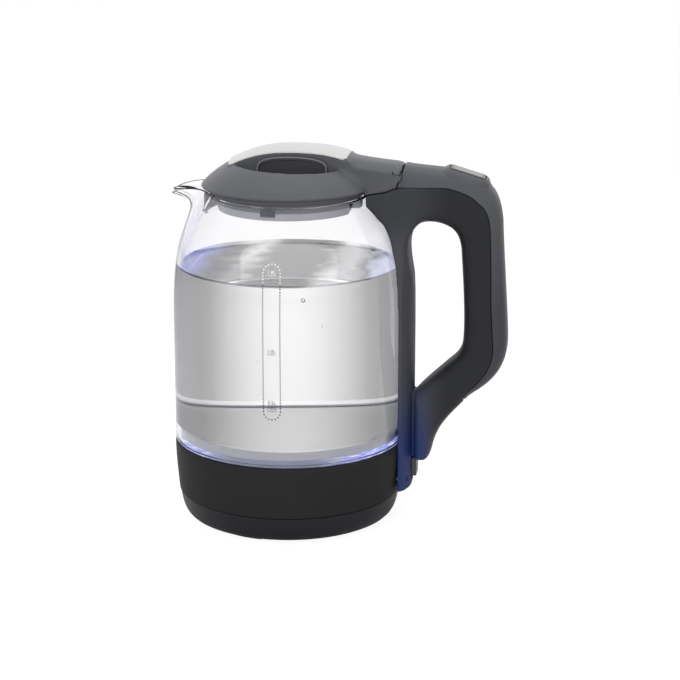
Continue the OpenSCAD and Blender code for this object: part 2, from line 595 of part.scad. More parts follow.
// ---- Switch ---------------------------------------------------------------
pivot_z = tab_mid;
module switch_bracket() color([0.15, 0.15, 0.16]) for (s = [-1, 1]) intersection() {
  difference() {
    translate([pivot_x - 5, s * (tab_half + 1) - 1.5, pivot_z - 6]) cube([20, 3, 12]);
    translate([pivot_x, 0, pivot_z]) rotate([90, 0, 0]) cylinder(r = 1.5, h = 60, center = true);
  }
  cylinder(r = shroud_in - 0.05, h = 100);
}
module switch_pin() color([0.75, 0.75, 0.77]) translate([pivot_x, 0, pivot_z])
  rotate([90, 0, 0]) cylinder(r = 1.5, h = 2 * tab_half + 5, center = true);
module switch_lever() color([0.07, 0.07, 0.08]) difference() {
  union() {
    translate([pivot_x - 4, -tab_half + 1.5, pivot_z - 1.8]) cube([spine_x - pivot_x + 3, 2 * tab_half - 3, 3.6]);
    translate([pivot_x, 0, pivot_z]) rotate([90, 0, 0]) cylinder(r = 3.2, h = 2 * tab_half - 3, center = true);
    translate([spine_x - 1.1, -tab_half, tab_mid - tab_h / 2]) cube([3.1, 2 * tab_half, tab_h]);
  }
  translate([pivot_x, 0, pivot_z]) rotate([90, 0, 0]) cylinder(r = 1.5 + pin_fit, h = 60, center = true);
}

// ---- Lid ------------------------------------------------------------------
trim_lift = 0.6;
trim_front = -36;
trim_rear = 39;
dome_top = crown_z - trim_lift - trim_t;
dome_curve = [[dome_r, dome_z + 1], [dome_r - 13, dome_z + 15.5], [19, dome_top], [0, dome_top]];
dome_line = bez(dome_curve, 10);
function dome_at(r) = lookup(r, dome_line);
// Ridge under the trim: it follows the dome in front of the axis and runs straighter behind it
ridge_crown = 2;
ridge_stations = concat([for (x = [trim_front : 6 : -6]) [x, dome_at(-x)]],
  bez([[0, dome_top], [16, dome_top], [28, dome_top - 1.4], [trim_rear, crown_z - 7.2]], 5));
function ridge_drop(x) = x < 0 ? dome_at(-x) - dome_at(norm([x, ridge_half])) : mix(ridge_crown, 0.6, x / trim_rear);
module ridge_body(up) hull() for (p = ridge_stations) translate([p[0], 0, 0]) rotate([90, 0, 90])
  linear_extrude(e) polygon(concat([[-ridge_half, dome_z + 3]],
    [for (k = [-1 : 0.25 : 1]) [k * ridge_half, p[1] + up - ridge_drop(p[0]) * k * k]], [[ridge_half, dome_z + 3]]));
arm_line = bez([[trim_rear, crown_z - 5.6], [46, crown_z - 7.4], [60, top_end_z + 1], [hinge_x, top_end_z]], 4);
// Finger recess on both sides of the ridge
recess_x = 2;
recess_r = 37.2;
recess_low = dome_z + 9.5;
pad_t = 2.2;
pad_rim = 1.2;
cavity_top = recess_low - lid_t - 2.5;
flange_r = dome_r - 3;
spout_cut = -41;
module recess() translate([0, 0, recess_low]) difference() {
  translate([recess_x, 0, 0]) cylinder(r = recess_r, h = 40);
  translate([-60, -ridge_half, -1]) cube([120, 2 * ridge_half, 42]);
}
module hinge_barrel(half, r) translate([hinge_x, 0, hinge_z]) rotate([90, 0, 0])
  cylinder(r = r, h = 2 * half, center = true);
module lid_shell() color([0.36, 0.365, 0.38]) {
  difference() {
    union() {
      rotate_extrude() polygon(concat([[dome_r - 0.6, dome_z]], dome_line, [[0, dome_z]]));
      ridge_body(trim_lift);
      slab(ridge_half) polygon(concat(arm_line, [part_point(barrel_r, 0), part_point(barrel_r, -11.5),
        [hinge_x - 2.4, rim_z + 5], [rim_r - 3, rim_z - 1], [trim_rear, dome_z + 3]]));
      hinge_barrel(ridge_half, barrel_r);
    }
    recess();
    rotate_extrude() polygon(concat([[0, dome_z - 1], [dome_r - 0.6 - lid_t, dome_z - 1]],
      [for (p = dome_line) if (p[1] < cavity_top) [p[0] - lid_t, p[1]]], [[dome_r - 13, cavity_top], [0, cavity_top]]));
    bracket_room();
    translate([0, 0, rim_z - 10]) cylinder(r = flange_r + 0.1, h = dome_z - rim_z + 10);
    // Hollow of the ridge and of the rear arm
    slab(ridge_half - lid_t) polygon([[-30, cavity_top - 1], [-20, dome_top - 7], [-8, dome_top - 3], [12, dome_top - 3],
      [trim_rear, crown_z - 11], [hinge_x - 8, top_end_z - 3], [hinge_x - 8, rim_z - 4], [trim_rear, rim_z - 4]]);
    // Room for the lugs and springs over the whole swing
    for (s = [-1, 1]) translate([0, s * (knuckle_half + cheek_in) / 2, 0]) slab((cheek_in - knuckle_half) / 2)
      polygon([[hinge_x - lug_r - slide_gap, hinge_z + lug_r + slide_gap], part_point(-lug_r - slide_gap, -30),
        [hinge_x + 30, hinge_z - 30], [hinge_x + 30, hinge_z + lug_r + slide_gap]]);
    hinge_barrel(ridge_half - 1.4, hinge_pin_r + pin_fit);
  }
}
module trim_plan() translate([0, 0, crown_z - 40]) linear_extrude(60) offset(r = 4) offset(delta = -4)
  polygon([[trim_front, -ridge_half], [trim_rear, -ridge_half], [trim_rear, ridge_half], [trim_front, ridge_half]]);
module lid_trim() color([0.8, 0.8, 0.8]) intersection() {
  difference() {
    ridge_body(trim_lift + trim_t);
    ridge_body(trim_lift);
  }
  trim_plan();
}
pad_arch = concat([[-17, recess_low]],
  bez([[-17, dome_top - 10.5], [-17, dome_top - 5], [-8, dome_top - 3.2], [5, dome_top - 3.2]], 6),
  bez([[5, dome_top - 3.2], [18, dome_top - 3.2], [27.5, dome_top - 5], [27.5, dome_top - 10]], 6, 1),
  [[27.5, recess_low]]);
module lid_grip_pads() color([0.22, 0.22, 0.24]) for (s = [-1, 1]) difference() {
  translate([0, s * (ridge_half + 0.05 + pad_t / 2), 0.05]) slab(pad_t / 2) polygon(pad_arch);
  translate([0, s * (ridge_half + 0.05 + pad_t), -pad_rim]) slab(0.8) offset(delta = -pad_rim)
    polygon([for (p = pad_arch) p[1] > recess_low ? p : p - [0, 5]]);
}
bracket_half = spine_half + 0.5;
module bracket_room() slab(bracket_half) polygon(concat(
  [[rim_in - 7, rim_z - 30], [rim_in - 7, rim_z + 1.7]], part_line, [[90, rim_z + 9], [90, rim_z - 30]]));
module lid_flange() color([0.33, 0.335, 0.35]) difference() {
  union() {
    translate([0, 0, flange_z + 1]) cylinder(r = flange_r, h = flange_h - 1);
    translate([0, 0, flange_z]) cylinder(r = flange_r - 0.6, h = 1 + e);
  }
  translate([spout_cut - 40, -40, flange_z - 1]) cube([40, 80, flange_h - 0.1]);
  translate([0, 0, flange_z - e]) cylinder(r = plug_r - 1.8, h = flange_h - 1.4);
  bracket_room();
}
module plug_cut() translate([rim_in - 7.2, -60, plug_z - 1]) cube([30, 120, 60]);
module lid_gasket() color([0.2, 0.2, 0.21]) difference() {
  ring(rim_in - 0.6, plug_r, flange_z - 3, flange_z - 1);
  plug_cut();
}
baffle_h = 4.8;
module lid_plug() color([0.25, 0.25, 0.27]) difference() {
  ring(plug_r, plug_r - 1.8, plug_z + baffle_h, flange_z);
  plug_cut();
}
module lid_baffle() color([0.6, 0.61, 0.63, 0.8]) difference() {
  translate([0, 0, plug_z]) cylinder(r1 = plug_r - 1.2, r2 = plug_r, h = baffle_h);
  translate([0, 0, plug_z + 1.5]) cylinder(r = plug_r - 3.4, h = baffle_h);
  for (a = [0 : 60 : 300]) at(a, 20) translate([0, 0, plug_z - 1]) cylinder(r = 4, h = 4);
  plug_cut();
}
module lid_clips() color([0.1, 0.11, 0.2]) for (a = [-97, 97, 180]) rotate([0, 0, a])
  translate([plug_r + 0.42, 0, plug_z + baffle_h + 0.5]) cube([0.8, 9, 5], center = true);
module lid_catch() color([0.85, 0.85, 0.85]) slab(latch_w / 2) polygon([
  [hook_x, dome_z + 9], [hook_x, hook_low], [hook_x + hook_w, hook_low], [hook_x + hook_w, hook_low + 1.8],
  [hook_x + 1.8, hook_low + 1.8], [hook_x + 1.8, dome_z + 9]]);

glass_jug();
jug_seal();
heating_plate();
heat_spreader();
heating_element();
element_terminals();
clamp_ring();
light_ring();
led_board();
leds();
led_wires();
control_unit();
bimetal_discs();
power_socket();
socket_contacts();
base_shroud();
bottom_cover();
feet();
cover_screws();
handle_spine();
steam_tube();
spine_screws();
handle_grip();
handle_cover();
grip_screws();
button_bezel();
button_spring();
hinge_pin();
hinge_springs();
spout_filter_frame();
spout_filter_mesh();
switch_bracket();
switch_pin();
lid_shell();
lid_trim();
lid_grip_pads();
lid_flange();
lid_gasket();
lid_plug();
lid_baffle();
lid_clips();
lid_catch();
release_button();
latch_slider();
switch_lever();
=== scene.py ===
import bpy
import bmesh
from math import acos, cos, hypot, pi, radians, sin
from mathutils import Matrix, Vector


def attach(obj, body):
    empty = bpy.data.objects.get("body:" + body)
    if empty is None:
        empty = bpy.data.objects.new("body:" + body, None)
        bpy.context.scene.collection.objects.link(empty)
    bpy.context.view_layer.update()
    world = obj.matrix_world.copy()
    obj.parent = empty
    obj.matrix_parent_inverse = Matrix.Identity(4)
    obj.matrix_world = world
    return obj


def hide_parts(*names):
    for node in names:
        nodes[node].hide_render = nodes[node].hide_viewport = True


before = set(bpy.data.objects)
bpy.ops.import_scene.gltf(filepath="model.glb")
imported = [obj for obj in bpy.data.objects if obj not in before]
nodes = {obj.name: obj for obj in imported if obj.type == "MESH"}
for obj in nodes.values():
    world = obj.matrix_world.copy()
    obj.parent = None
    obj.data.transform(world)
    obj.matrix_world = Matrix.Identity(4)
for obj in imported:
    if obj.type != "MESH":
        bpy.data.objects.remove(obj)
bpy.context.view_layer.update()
mm = 0.001
print("frame loaded:", len(nodes), "nodes")


def toLinear(hexColour):
    # An sRGB colour such as "#48494D" as the linear values that nodes take
    channels = [int(hexColour[i:i + 2], 16) / 255 for i in (1, 3, 5)]
    return [c / 12.92 if c <= 0.04045 else ((c + 0.055) / 1.055) ** 2.4 for c in channels] + [1.0]


def addNode(tree, kind, values=None, links=None):
    # values are sockets or settings of the node, links are the outputs that feed its sockets
    node = tree.nodes.new(kind)
    for key, value in (values or {}).items():
        if isinstance(key, int) or key in node.inputs:
            node.inputs[key].default_value = value
        else:
            setattr(node, key, value)
    for key, source in (links or {}).items():
        tree.links.new(source, node.inputs[key])
    return node


def newMaterial(name):
    material = bpy.data.materials.new(name)
    material.use_nodes = True
    material.node_tree.nodes.clear()
    return material, material.node_tree


def setRamp(ramp, stops):
    while len(ramp.color_ramp.elements) < len(stops):
        ramp.color_ramp.elements.new(0.5)
    for element, (place, hexColour) in zip(ramp.color_ramp.elements, stops):
        element.position = place
        element.color = toLinear(hexColour)


def mix(a, b, t):
    return a + (b - a) * t


def bezier(p, steps, start=0):
    # Points along a cubic curve; start=1 leaves out its first point, where it carries on a line
    line = []
    for i in range(start, steps + 1):
        t = i / steps
        w = ((1 - t) ** 3, 3 * t * (1 - t) ** 2, 3 * t * t * (1 - t), t ** 3)
        line.append(tuple(sum(w[k] * p[k][c] for k in range(4)) for c in (0, 1)))
    return line


def inset(line, distance):
    # The line moved sideways, to the left of its direction
    moved = []
    for i, (x, z) in enumerate(line):
        a, b = line[max(i - 1, 0)], line[min(i + 1, len(line) - 1)]
        length = hypot(b[0] - a[0], b[1] - a[1])
        moved.append((x - distance * (b[1] - a[1]) / length, z + distance * (b[0] - a[0]) / length))
    return moved


def addObject(name, data):
    thing = bpy.data.objects.new(name, data)
    bpy.context.scene.collection.objects.link(thing)
    return thing


def addPiece(name, points, faces, body, materials, sharpDeg=35):
    # A mesh from points in millimetres, on the body that it moves with
    mesh = bpy.data.meshes.new(name)
    mesh.from_pydata([[c * mm for c in p] for p in points], [], faces)
    shape = bmesh.new()
    shape.from_mesh(mesh)
    bmesh.ops.recalc_face_normals(shape, faces=shape.faces)
    shape.to_mesh(mesh)
    shape.free()
    piece = addObject(name, mesh)
    for material in materials:
        mesh.materials.append(material)
    mesh.shade_smooth()
    mesh.set_sharp_from_angle(angle=radians(sharpDeg))
    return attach(piece, body)


def loft(rings, closedRound=False, capped=True):
    # Points and faces of a skin through rings that have as many points each
    count, turns = len(rings[0]), len(rings)
    points = [p for ring in rings for p in ring]
    faces = []
    for i in range(turns if closedRound else turns - 1):
        n = (i + 1) % turns
        for j in range(count):
            k = (j + 1) % count
            faces.append((i * count + j, i * count + k, n * count + k, n * count + j))
    if capped and not closedRound:
        faces.append(tuple(range(count - 1, -1, -1)))
        faces.append(tuple((turns - 1) * count + j for j in range(count)))
    return points, faces


def bake(piece):
    # The piece's mesh becomes what its modifiers make of it
    bpy.context.view_layer.update()
    result = bpy.data.meshes.new_from_object(piece.evaluated_get(bpy.context.evaluated_depsgraph_get()))
    piece.modifiers.clear()
    piece.data = result


def ease(a, b, v):
    t = min(max((v - a) / (b - a), 0), 1)
    return t * t * (3 - 2 * t)


def fuse(name, parts, look, body, material):
    # One closed skin round several shapes, with its creases rounded like those of a moulding
    shape = bmesh.new()
    for mesh, turn in parts:
        part = mesh.copy()
        part.transform(turn)
        shape.from_mesh(part)
        bpy.data.meshes.remove(part)
    data = bpy.data.meshes.new(name)
    shape.to_mesh(data)
    shape.free()
    piece = addObject(name, data)
    skin = piece.modifiers.new("skin", "REMESH")
    skin.mode = "VOXEL"
    skin.voxel_size = look["voxelMm"] * mm
    bake(piece)
    even = piece.modifiers.new("even", "SMOOTH")
    even.iterations = look["even"]
    for passes, weigh in look["soft"]:
        group = piece.vertex_groups.new(name=weigh.__name__)
        for v in piece.data.vertices:
            weight = weigh(*(c / mm for c in v.co))
            if weight > 0:
                group.add([v.index], weight, "REPLACE")
        soft = piece.modifiers.new(weigh.__name__, "SMOOTH")
        soft.vertex_group = group.name
        soft.iterations = passes
    bake(piece)
    piece.vertex_groups.clear()
    piece.data.materials.clear()
    piece.data.materials.append(material)
    for face in piece.data.polygons:
        face.material_index = 0
    piece.data.shade_smooth()
    piece.data.set_sharp_from_angle(angle=radians(look.get("sharpDeg", 60)))
    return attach(piece, body)


def lathe(profile, steps=144):
    # profile is a closed outline of (radius, height); the skin goes right round the jug's axis
    rings = []
    for i in range(steps):
        a = 2 * pi * i / steps
        rings.append([(r * cos(a), r * sin(a), z) for r, z in profile])
    return loft(rings, closedRound=True)


# The camera stands a little to the right of the gauge and looks slightly down
cameraSet = {"distance": 1308.5, "height": 474.7, "azimuthDeg": 9.0, "tiltDeg": 15.37, "panRad": -0.0251,
             "focalPx": 2100, "imagePx": 680, "sensor": 36}


def addCamera():
    s = cameraSet
    azimuth, tilt, pan = radians(s["azimuthDeg"]), radians(s["tiltDeg"]), s["panRad"]
    place = Vector((s["distance"] * sin(azimuth), -s["distance"] * cos(azimuth), s["height"]))
    side = Vector((cos(azimuth), sin(azimuth), 0))
    ahead = Vector((-sin(azimuth), cos(azimuth), 0))
    right = side * cos(pan) + ahead * sin(pan)
    forward = ahead * cos(pan) - side * sin(pan)
    look = forward * cos(tilt) - Vector((0, 0, 1)) * sin(tilt)
    up = right.cross(look)
    data = bpy.data.cameras.new("camera")
    data.sensor_width = s["sensor"]
    data.lens = s["focalPx"] / s["imagePx"] * s["sensor"]
    camera = addObject("camera", data)
    turn = Matrix((right, up, -look)).transposed().to_4x4()
    camera.matrix_world = Matrix.Translation(place * mm) @ turn
    bpy.context.scene.camera = camera


addCamera()
print("camera set")


def mouldedPlastic(name, look):
    # ABS and polypropylene from a spark-eroded mould: a fine even grain that keeps the sheen soft
    material, tree = newMaterial(name)
    place = addNode(tree, "ShaderNodeTexCoord")
    grain = addNode(tree, "ShaderNodeTexNoise", {"Scale": 1 / (look["grainMm"] * mm), "Detail": 2.0},
                    {"Vector": place.outputs["Object"]})
    cloudMm = 30  # the tone drifts over the width of a hand
    cloud = addNode(tree, "ShaderNodeTexNoise", {"Scale": 1 / (cloudMm * mm), "Detail": 3.0},
                    {"Vector": place.outputs["Object"]})
    shade = addNode(tree, "ShaderNodeMix",
                    {"data_type": "RGBA", 6: toLinear(look["colour"]), 7: toLinear(look["tone"])},
                    {0: cloud.outputs[0]})
    rough = addNode(tree, "ShaderNodeMapRange",
                    {"To Min": look["roughness"] - 0.04, "To Max": look["roughness"] + 0.04},
                    {"Value": grain.outputs[0]})
    edge = addNode(tree, "ShaderNodeBevel", {"samples": 4, "Radius": look.get("edgeMm", 0.5) * mm})
    bump = addNode(tree, "ShaderNodeBump", {"Strength": 0.35, "Distance": look["grainDepthMm"] * mm},
                   {"Height": grain.outputs[0], "Normal": edge.outputs["Normal"]})
    colour = shade.outputs[2]
    if "paintedShadeAndGlow" in look:  # painted shade where the piece turns away from the lamps, and painted blue lamp light near the ring of lamps
        split = addNode(tree, "ShaderNodeSeparateXYZ", {}, {0: place.outputs["Object"]})
        for axis, start, end, hexColour, limit in look["paintedShadeAndGlow"]:
            span = {"From Min": start * mm, "From Max": end * mm, "interpolation_type": "SMOOTHSTEP"}
            share = addNode(tree, "ShaderNodeMapRange", span, {"Value": split.outputs[axis]}).outputs[0]
            if limit:
                span = {"From Min": limit[0] * mm, "From Max": limit[1] * mm,
                        "interpolation_type": "SMOOTHSTEP"}
                other = addNode(tree, "ShaderNodeMapRange", span, {"Value": split.outputs["X"]}).outputs[0]
                share = addNode(tree, "ShaderNodeMath", {"operation": "MULTIPLY"},
                                {0: share, 1: other}).outputs[0]
            tinted = addNode(tree, "ShaderNodeMix", {"data_type": "RGBA", 7: toLinear(hexColour)},
                             {0: share, 6: colour})
            colour = tinted.outputs[2]
    shader = addNode(tree, "ShaderNodeBsdfPrincipled",
                     {"IOR": 1.5, "Specular IOR Level": look.get("specular", 0.5)},
                     {"Base Color": colour, "Roughness": rough.outputs[0], "Normal": bump.outputs[0]})
    addNode(tree, "ShaderNodeOutputMaterial", {}, {"Surface": shader.outputs[0]})
    return material


def workedMetal(name, look):
    # Brushed or rolled metal: long scratches along one direction stretch its reflections across it
    material, tree = newMaterial(name)
    place = addNode(tree, "ShaderNodeTexCoord")
    along = addNode(tree, "ShaderNodeMapping", {"Scale": [1 / (c * mm) for c in look["scratchMm"]]},
                    {"Vector": place.outputs["Object"]})
    scratch = addNode(tree, "ShaderNodeTexNoise", {"Scale": 1.0, "Detail": 3.0}, {"Vector": along.outputs[0]})
    shade = addNode(tree, "ShaderNodeMix",
                    {"data_type": "RGBA", 6: toLinear(look["colour"]), 7: toLinear(look["tone"])},
                    {0: scratch.outputs[0]})
    rough = addNode(tree, "ShaderNodeMapRange",
                    {"To Min": look["roughness"] - 0.05, "To Max": look["roughness"] + 0.08},
                    {"Value": scratch.outputs[0]})
    edgeMm, scratchDepthMm = 0.3, 0.02
    edge = addNode(tree, "ShaderNodeBevel", {"samples": 4, "Radius": edgeMm * mm})
    bump = addNode(tree, "ShaderNodeBump", {"Strength": 0.3, "Distance": scratchDepthMm * mm},
                   {"Height": scratch.outputs[0], "Normal": edge.outputs["Normal"]})
    shader = addNode(tree, "ShaderNodeBsdfPrincipled", {"Metallic": 1.0},
                     {"Base Color": shade.outputs[2], "Roughness": rough.outputs[0],
                      "Normal": bump.outputs[0]})
    addNode(tree, "ShaderNodeOutputMaterial", {}, {"Surface": shader.outputs[0]})
    return material


def clearMaterial(name, look):
    # Clear borosilicate and still water: smooth, with painted shade where the wall is seen edge on
    material, tree = newMaterial(name)
    facing = addNode(tree, "ShaderNodeLayerWeight", {"Blend": 0.5})
    ramp = addNode(tree, "ShaderNodeValToRGB", {}, {0: facing.outputs["Facing"]})
    setRamp(ramp, look["tint"])
    clear = addNode(tree, "ShaderNodeBsdfPrincipled",
                    {"Transmission Weight": 1.0, "IOR": look["ior"], "Roughness": 0.0},
                    {"Base Color": ramp.outputs[0]})
    # Light that falls through it onto what is inside is drawn straight, with no ripples
    ray = addNode(tree, "ShaderNodeLightPath")
    straight = addNode(tree, "ShaderNodeMath", {"operation": "MAXIMUM"},
                       {0: ray.outputs["Is Shadow Ray"], 1: ray.outputs["Is Diffuse Ray"]})
    passing = addNode(tree, "ShaderNodeBsdfTransparent", {"Color": toLinear(look["passing"])})
    both = addNode(tree, "ShaderNodeMixShader", {},
                   {0: straight.outputs[0], 1: clear.outputs[0], 2: passing.outputs[0]})
    if "glow" in look:  # painted reflection: lamp light and steel drawn as emission on the surface, in patches from left to right
        rippleMm = 18
        place = addNode(tree, "ShaderNodeTexCoord")
        ripple = addNode(tree, "ShaderNodeTexNoise", {"Scale": 1 / (rippleMm * mm), "Detail": 2.0},
                         {"Vector": place.outputs["Object"]})
        shifted = addNode(tree, "ShaderNodeMix",
                          {"data_type": "RGBA", "blend_type": "LINEAR_LIGHT", 0: 0.012},
                          {6: place.outputs["Object"], 7: ripple.outputs["Color"]})
        split = addNode(tree, "ShaderNodeSeparateXYZ", {}, {0: shifted.outputs[2]})
        across = addNode(tree, "ShaderNodeMapRange",
                         {"From Min": -look["acrossMm"] * mm, "From Max": look["acrossMm"] * mm},
                         {"Value": split.outputs["X"]})
        paintedReflection = addNode(tree, "ShaderNodeValToRGB", {}, {0: across.outputs[0]})
        setRamp(paintedReflection, look["glow"])
        light = addNode(tree, "ShaderNodeEmission", {"Strength": 1.0}, {"Color": paintedReflection.outputs[0]})
        # painted shade: the water is darkened across its middle
        shade = addNode(tree, "ShaderNodeValToRGB", {}, {0: across.outputs[0]})
        setRamp(shade, look["across"])
        tinted = addNode(tree, "ShaderNodeMix", {"data_type": "RGBA", "blend_type": "MULTIPLY", 0: 1.0},
                         {6: ramp.outputs[0], 7: shade.outputs[0]})
        tree.links.new(tinted.outputs[2], clear.inputs["Base Color"])
        both = addNode(tree, "ShaderNodeAddShader", {}, {0: both.outputs[0], 1: light.outputs[0]})
    addNode(tree, "ShaderNodeOutputMaterial", {}, {"Surface": both.outputs[0]})
    return material


def glowingGuide(name, look):
    # Frosted acrylic lit by a row of lamps: the light pools at each lamp and streaks round the ring
    material, tree = newMaterial(name)
    place = addNode(tree, "ShaderNodeTexCoord")
    squeeze = addNode(tree, "ShaderNodeMapping", {"Scale": [1 / (c * mm) for c in look["streakMm"]]},
                      {"Vector": place.outputs["Object"]})
    streak = addNode(tree, "ShaderNodeTexNoise", {"Scale": 1.0, "Detail": 3.0},
                     {"Vector": squeeze.outputs[0]})
    ramp = addNode(tree, "ShaderNodeValToRGB", {}, {0: streak.outputs[0]})
    setRamp(ramp, look["glow"])
    split = addNode(tree, "ShaderNodeSeparateXYZ", {}, {0: place.outputs["Object"]})
    # painted shade: the glow is dimmed where the ring faces the front
    off = addNode(tree, "ShaderNodeMath", {"operation": "ABSOLUTE"}, {0: split.outputs["X"]})
    span = {"From Min": look["paintedFrontShadeMm"][0] * mm, "From Max": look["paintedFrontShadeMm"][1] * mm,
            "interpolation_type": "SMOOTHSTEP"}
    side = addNode(tree, "ShaderNodeMapRange", span, {"Value": off.outputs[0]})
    tint = addNode(tree, "ShaderNodeMix", {"data_type": "RGBA", "blend_type": "MULTIPLY", 0: 1.0},
                   {6: ramp.outputs[0]})
    paintedFrontShade = addNode(tree, "ShaderNodeMix",
                  {"data_type": "RGBA", 6: toLinear(look["paintedFrontShade"]), 7: toLinear("#FFFFFF")},
                  {0: side.outputs[0]})
    tree.links.new(paintedFrontShade.outputs[2], tint.inputs[7])
    shader = addNode(tree, "ShaderNodeBsdfPrincipled",
                     {"Base Color": toLinear(look["colour"]), "Roughness": 0.35,
                      "Emission Strength": look["strength"]},
                     {"Emission Color": tint.outputs[2]})
    addNode(tree, "ShaderNodeOutputMaterial", {}, {"Surface": shader.outputs[0]})
    return material


# Satin mouldings: a broad soft sheen, so that the dome and the arm read as one grey form
lidPlastic = mouldedPlastic("satin ABS lid", {
    "colour": "#48494D", "tone": "#4E4F53", "roughness": 0.38, "grainMm": 0.5, "grainDepthMm": 0.012,
    "specular": 0.3, "edgeMm": 0.9})
coverPlastic = mouldedPlastic("satin ABS cover", {
    "colour": "#46474B", "tone": "#4B4C51", "roughness": 0.42, "grainMm": 0.5, "grainDepthMm": 0.012,
    "specular": 0.3,
    # painted shade: the cover darkens from its top down towards the foot of the loop
    "paintedShadeAndGlow": [("Z", 220, 120, "#35363B", None)]})
# The grip is a darker grey than the cover; painted shade darkens it under the cover and towards the outside
# of the loop, and painted blue lamp light lies on its foot
gripPlastic = mouldedPlastic("soft polypropylene grip", {
    "colour": "#3D3E42", "tone": "#424347", "roughness": 0.5, "grainMm": 0.6, "grainDepthMm": 0.015,
    "specular": 0.25,
    "paintedShadeAndGlow": [("Z", 175, 205, "#303135", None), ("X", 79, 106, "#1C1D20", None),
              ("Z", 104, 42, "#20305E", (97, 86))]})
# Nearly matt black, with only a faint grey bloom
shroudPlastic = mouldedPlastic("dark polypropylene shroud", {
    "colour": "#252525", "tone": "#282828", "roughness": 0.5, "grainMm": 0.5, "grainDepthMm": 0.01,
    "specular": 0.05})
basePlastic = mouldedPlastic("dark polypropylene base", {
    "colour": "#121318", "tone": "#16171C", "roughness": 0.42, "grainMm": 0.5, "grainDepthMm": 0.01,
    "specular": 0.25})
# Small parts: polished, ribbed or left as they come from the mould
glossBlack = mouldedPlastic("polished black ABS", {
    "colour": "#121214", "tone": "#151517", "roughness": 0.2, "grainMm": 1.5, "grainDepthMm": 0.003,
    "specular": 0.4})
padPlastic = mouldedPlastic("ribbed ABS pad", {
    "colour": "#333237", "tone": "#39383D", "roughness": 0.4, "grainMm": 0.6, "grainDepthMm": 0.01,
    "specular": 0.4})
innerPlastic = mouldedPlastic("unpolished nylon", {
    "colour": "#1D1D20", "tone": "#232326", "roughness": 0.55, "grainMm": 0.8, "grainDepthMm": 0.02})
clipPlastic = mouldedPlastic("grey acetal clip", {
    "colour": "#B4B6BA", "tone": "#BCBEC2", "roughness": 0.4, "grainMm": 0.7, "grainDepthMm": 0.01})
darkClip = mouldedPlastic("navy acetal clip", {
    "colour": "#14182E", "tone": "#1A2040", "roughness": 0.3, "grainMm": 0.7, "grainDepthMm": 0.01})
filterPlastic = mouldedPlastic("grey polypropylene filter", {
    "colour": "#6A6B6E", "tone": "#727376", "roughness": 0.45, "grainMm": 0.7, "grainDepthMm": 0.01})
plugPlastic = mouldedPlastic("grey polypropylene plug", {
    "colour": "#55565C", "tone": "#606168", "roughness": 0.4, "grainMm": 0.7, "grainDepthMm": 0.01})
bafflePlastic = mouldedPlastic("pale polypropylene baffle", {
    "colour": "#96979A", "tone": "#9E9FA2", "roughness": 0.4, "grainMm": 0.7, "grainDepthMm": 0.01})
# Soft parts: milky or dull, with hardly any highlight
siliconeRubber = mouldedPlastic("clear grey silicone", {
    "colour": "#64656A", "tone": "#6C6D72", "roughness": 0.6, "grainMm": 1.0, "grainDepthMm": 0.01,
    "specular": 0.3})
sealSilicone = mouldedPlastic("milky silicone seal", {
    "colour": "#97989C", "tone": "#A0A1A5", "roughness": 0.4, "grainMm": 1.0, "grainDepthMm": 0.004,
    "specular": 0.4})
footRubber = mouldedPlastic("black rubber foot", {
    "colour": "#1A1A1A", "tone": "#202020", "roughness": 0.75, "grainMm": 0.6, "grainDepthMm": 0.03,
    "specular": 0.25})
# Inner parts and prints, each in its plain colour, but for the grey print: the pale ink in painted shade
circuitBoard = mouldedPlastic("green lacquered board", {
    "colour": "#1D4A2A", "tone": "#235834", "roughness": 0.35, "grainMm": 1.2, "grainDepthMm": 0.01})
wireSleeve = mouldedPlastic("red silicone sleeve", {
    "colour": "#8E1C1C", "tone": "#9A2222", "roughness": 0.5, "grainMm": 1.0, "grainDepthMm": 0.01})
filterMesh = mouldedPlastic("woven nylon mesh", {  # threads of 0.2 mm, drawn at 0.5 mm so that they show
    "colour": "#727376", "tone": "#66676A", "roughness": 0.6, "grainMm": 0.5, "grainDepthMm": 0.2})
# painted shade: the pale print as it looks under the water, drawn dark grey
printPaintedShade = mouldedPlastic("pale ceramic ink in painted shade", {
    "colour": "#3C3D40", "tone": "#444548", "roughness": 0.6, "grainMm": 0.3, "grainDepthMm": 0.005})
printPale = mouldedPlastic("pale ceramic ink", {
    "colour": "#E6E7EA", "tone": "#F0F0F2", "roughness": 0.6, "grainMm": 0.3, "grainDepthMm": 0.005})
switchPlastic = mouldedPlastic("satin black rocker", {
    "colour": "#30323A", "tone": "#363840", "roughness": 0.4, "grainMm": 0.7, "grainDepthMm": 0.01})
# Metals: the scratches draw each reflection out across them
darkSteel = workedMetal("blackened steel", {
    "colour": "#2A2A2C", "tone": "#303032", "roughness": 0.5, "scratchMm": (1.5, 1.5, 1.5)})
trimMetal = workedMetal("brushed anodised aluminium", {
    "colour": "#D2D2D1", "tone": "#E4E4E3", "roughness": 0.3, "scratchMm": (30, 0.35, 0.35)})
buttonMetal = workedMetal("satin chromed button", {
    "colour": "#8E8F90", "tone": "#A0A1A2", "roughness": 0.3, "scratchMm": (6, 0.4, 0.4)})
plateSteel = workedMetal("rolled stainless steel", {
    "colour": "#F0F0F0", "tone": "#FAFAFA", "roughness": 0.34, "scratchMm": (14, 0.5, 0.5)})
screwSteel = workedMetal("zinc plated steel", {
    "colour": "#A9AAAC", "tone": "#B5B6B8", "roughness": 0.32, "scratchMm": (1.5, 1.5, 1.5)})
castAluminium = workedMetal("cast aluminium", {
    "colour": "#A8A9AA", "tone": "#B4B5B6", "roughness": 0.5, "scratchMm": (2, 2, 2)})
contactBrass = workedMetal("stamped brass", {
    "colour": "#B8934A", "tone": "#C4A05A", "roughness": 0.3, "scratchMm": (3, 0.6, 0.6)})
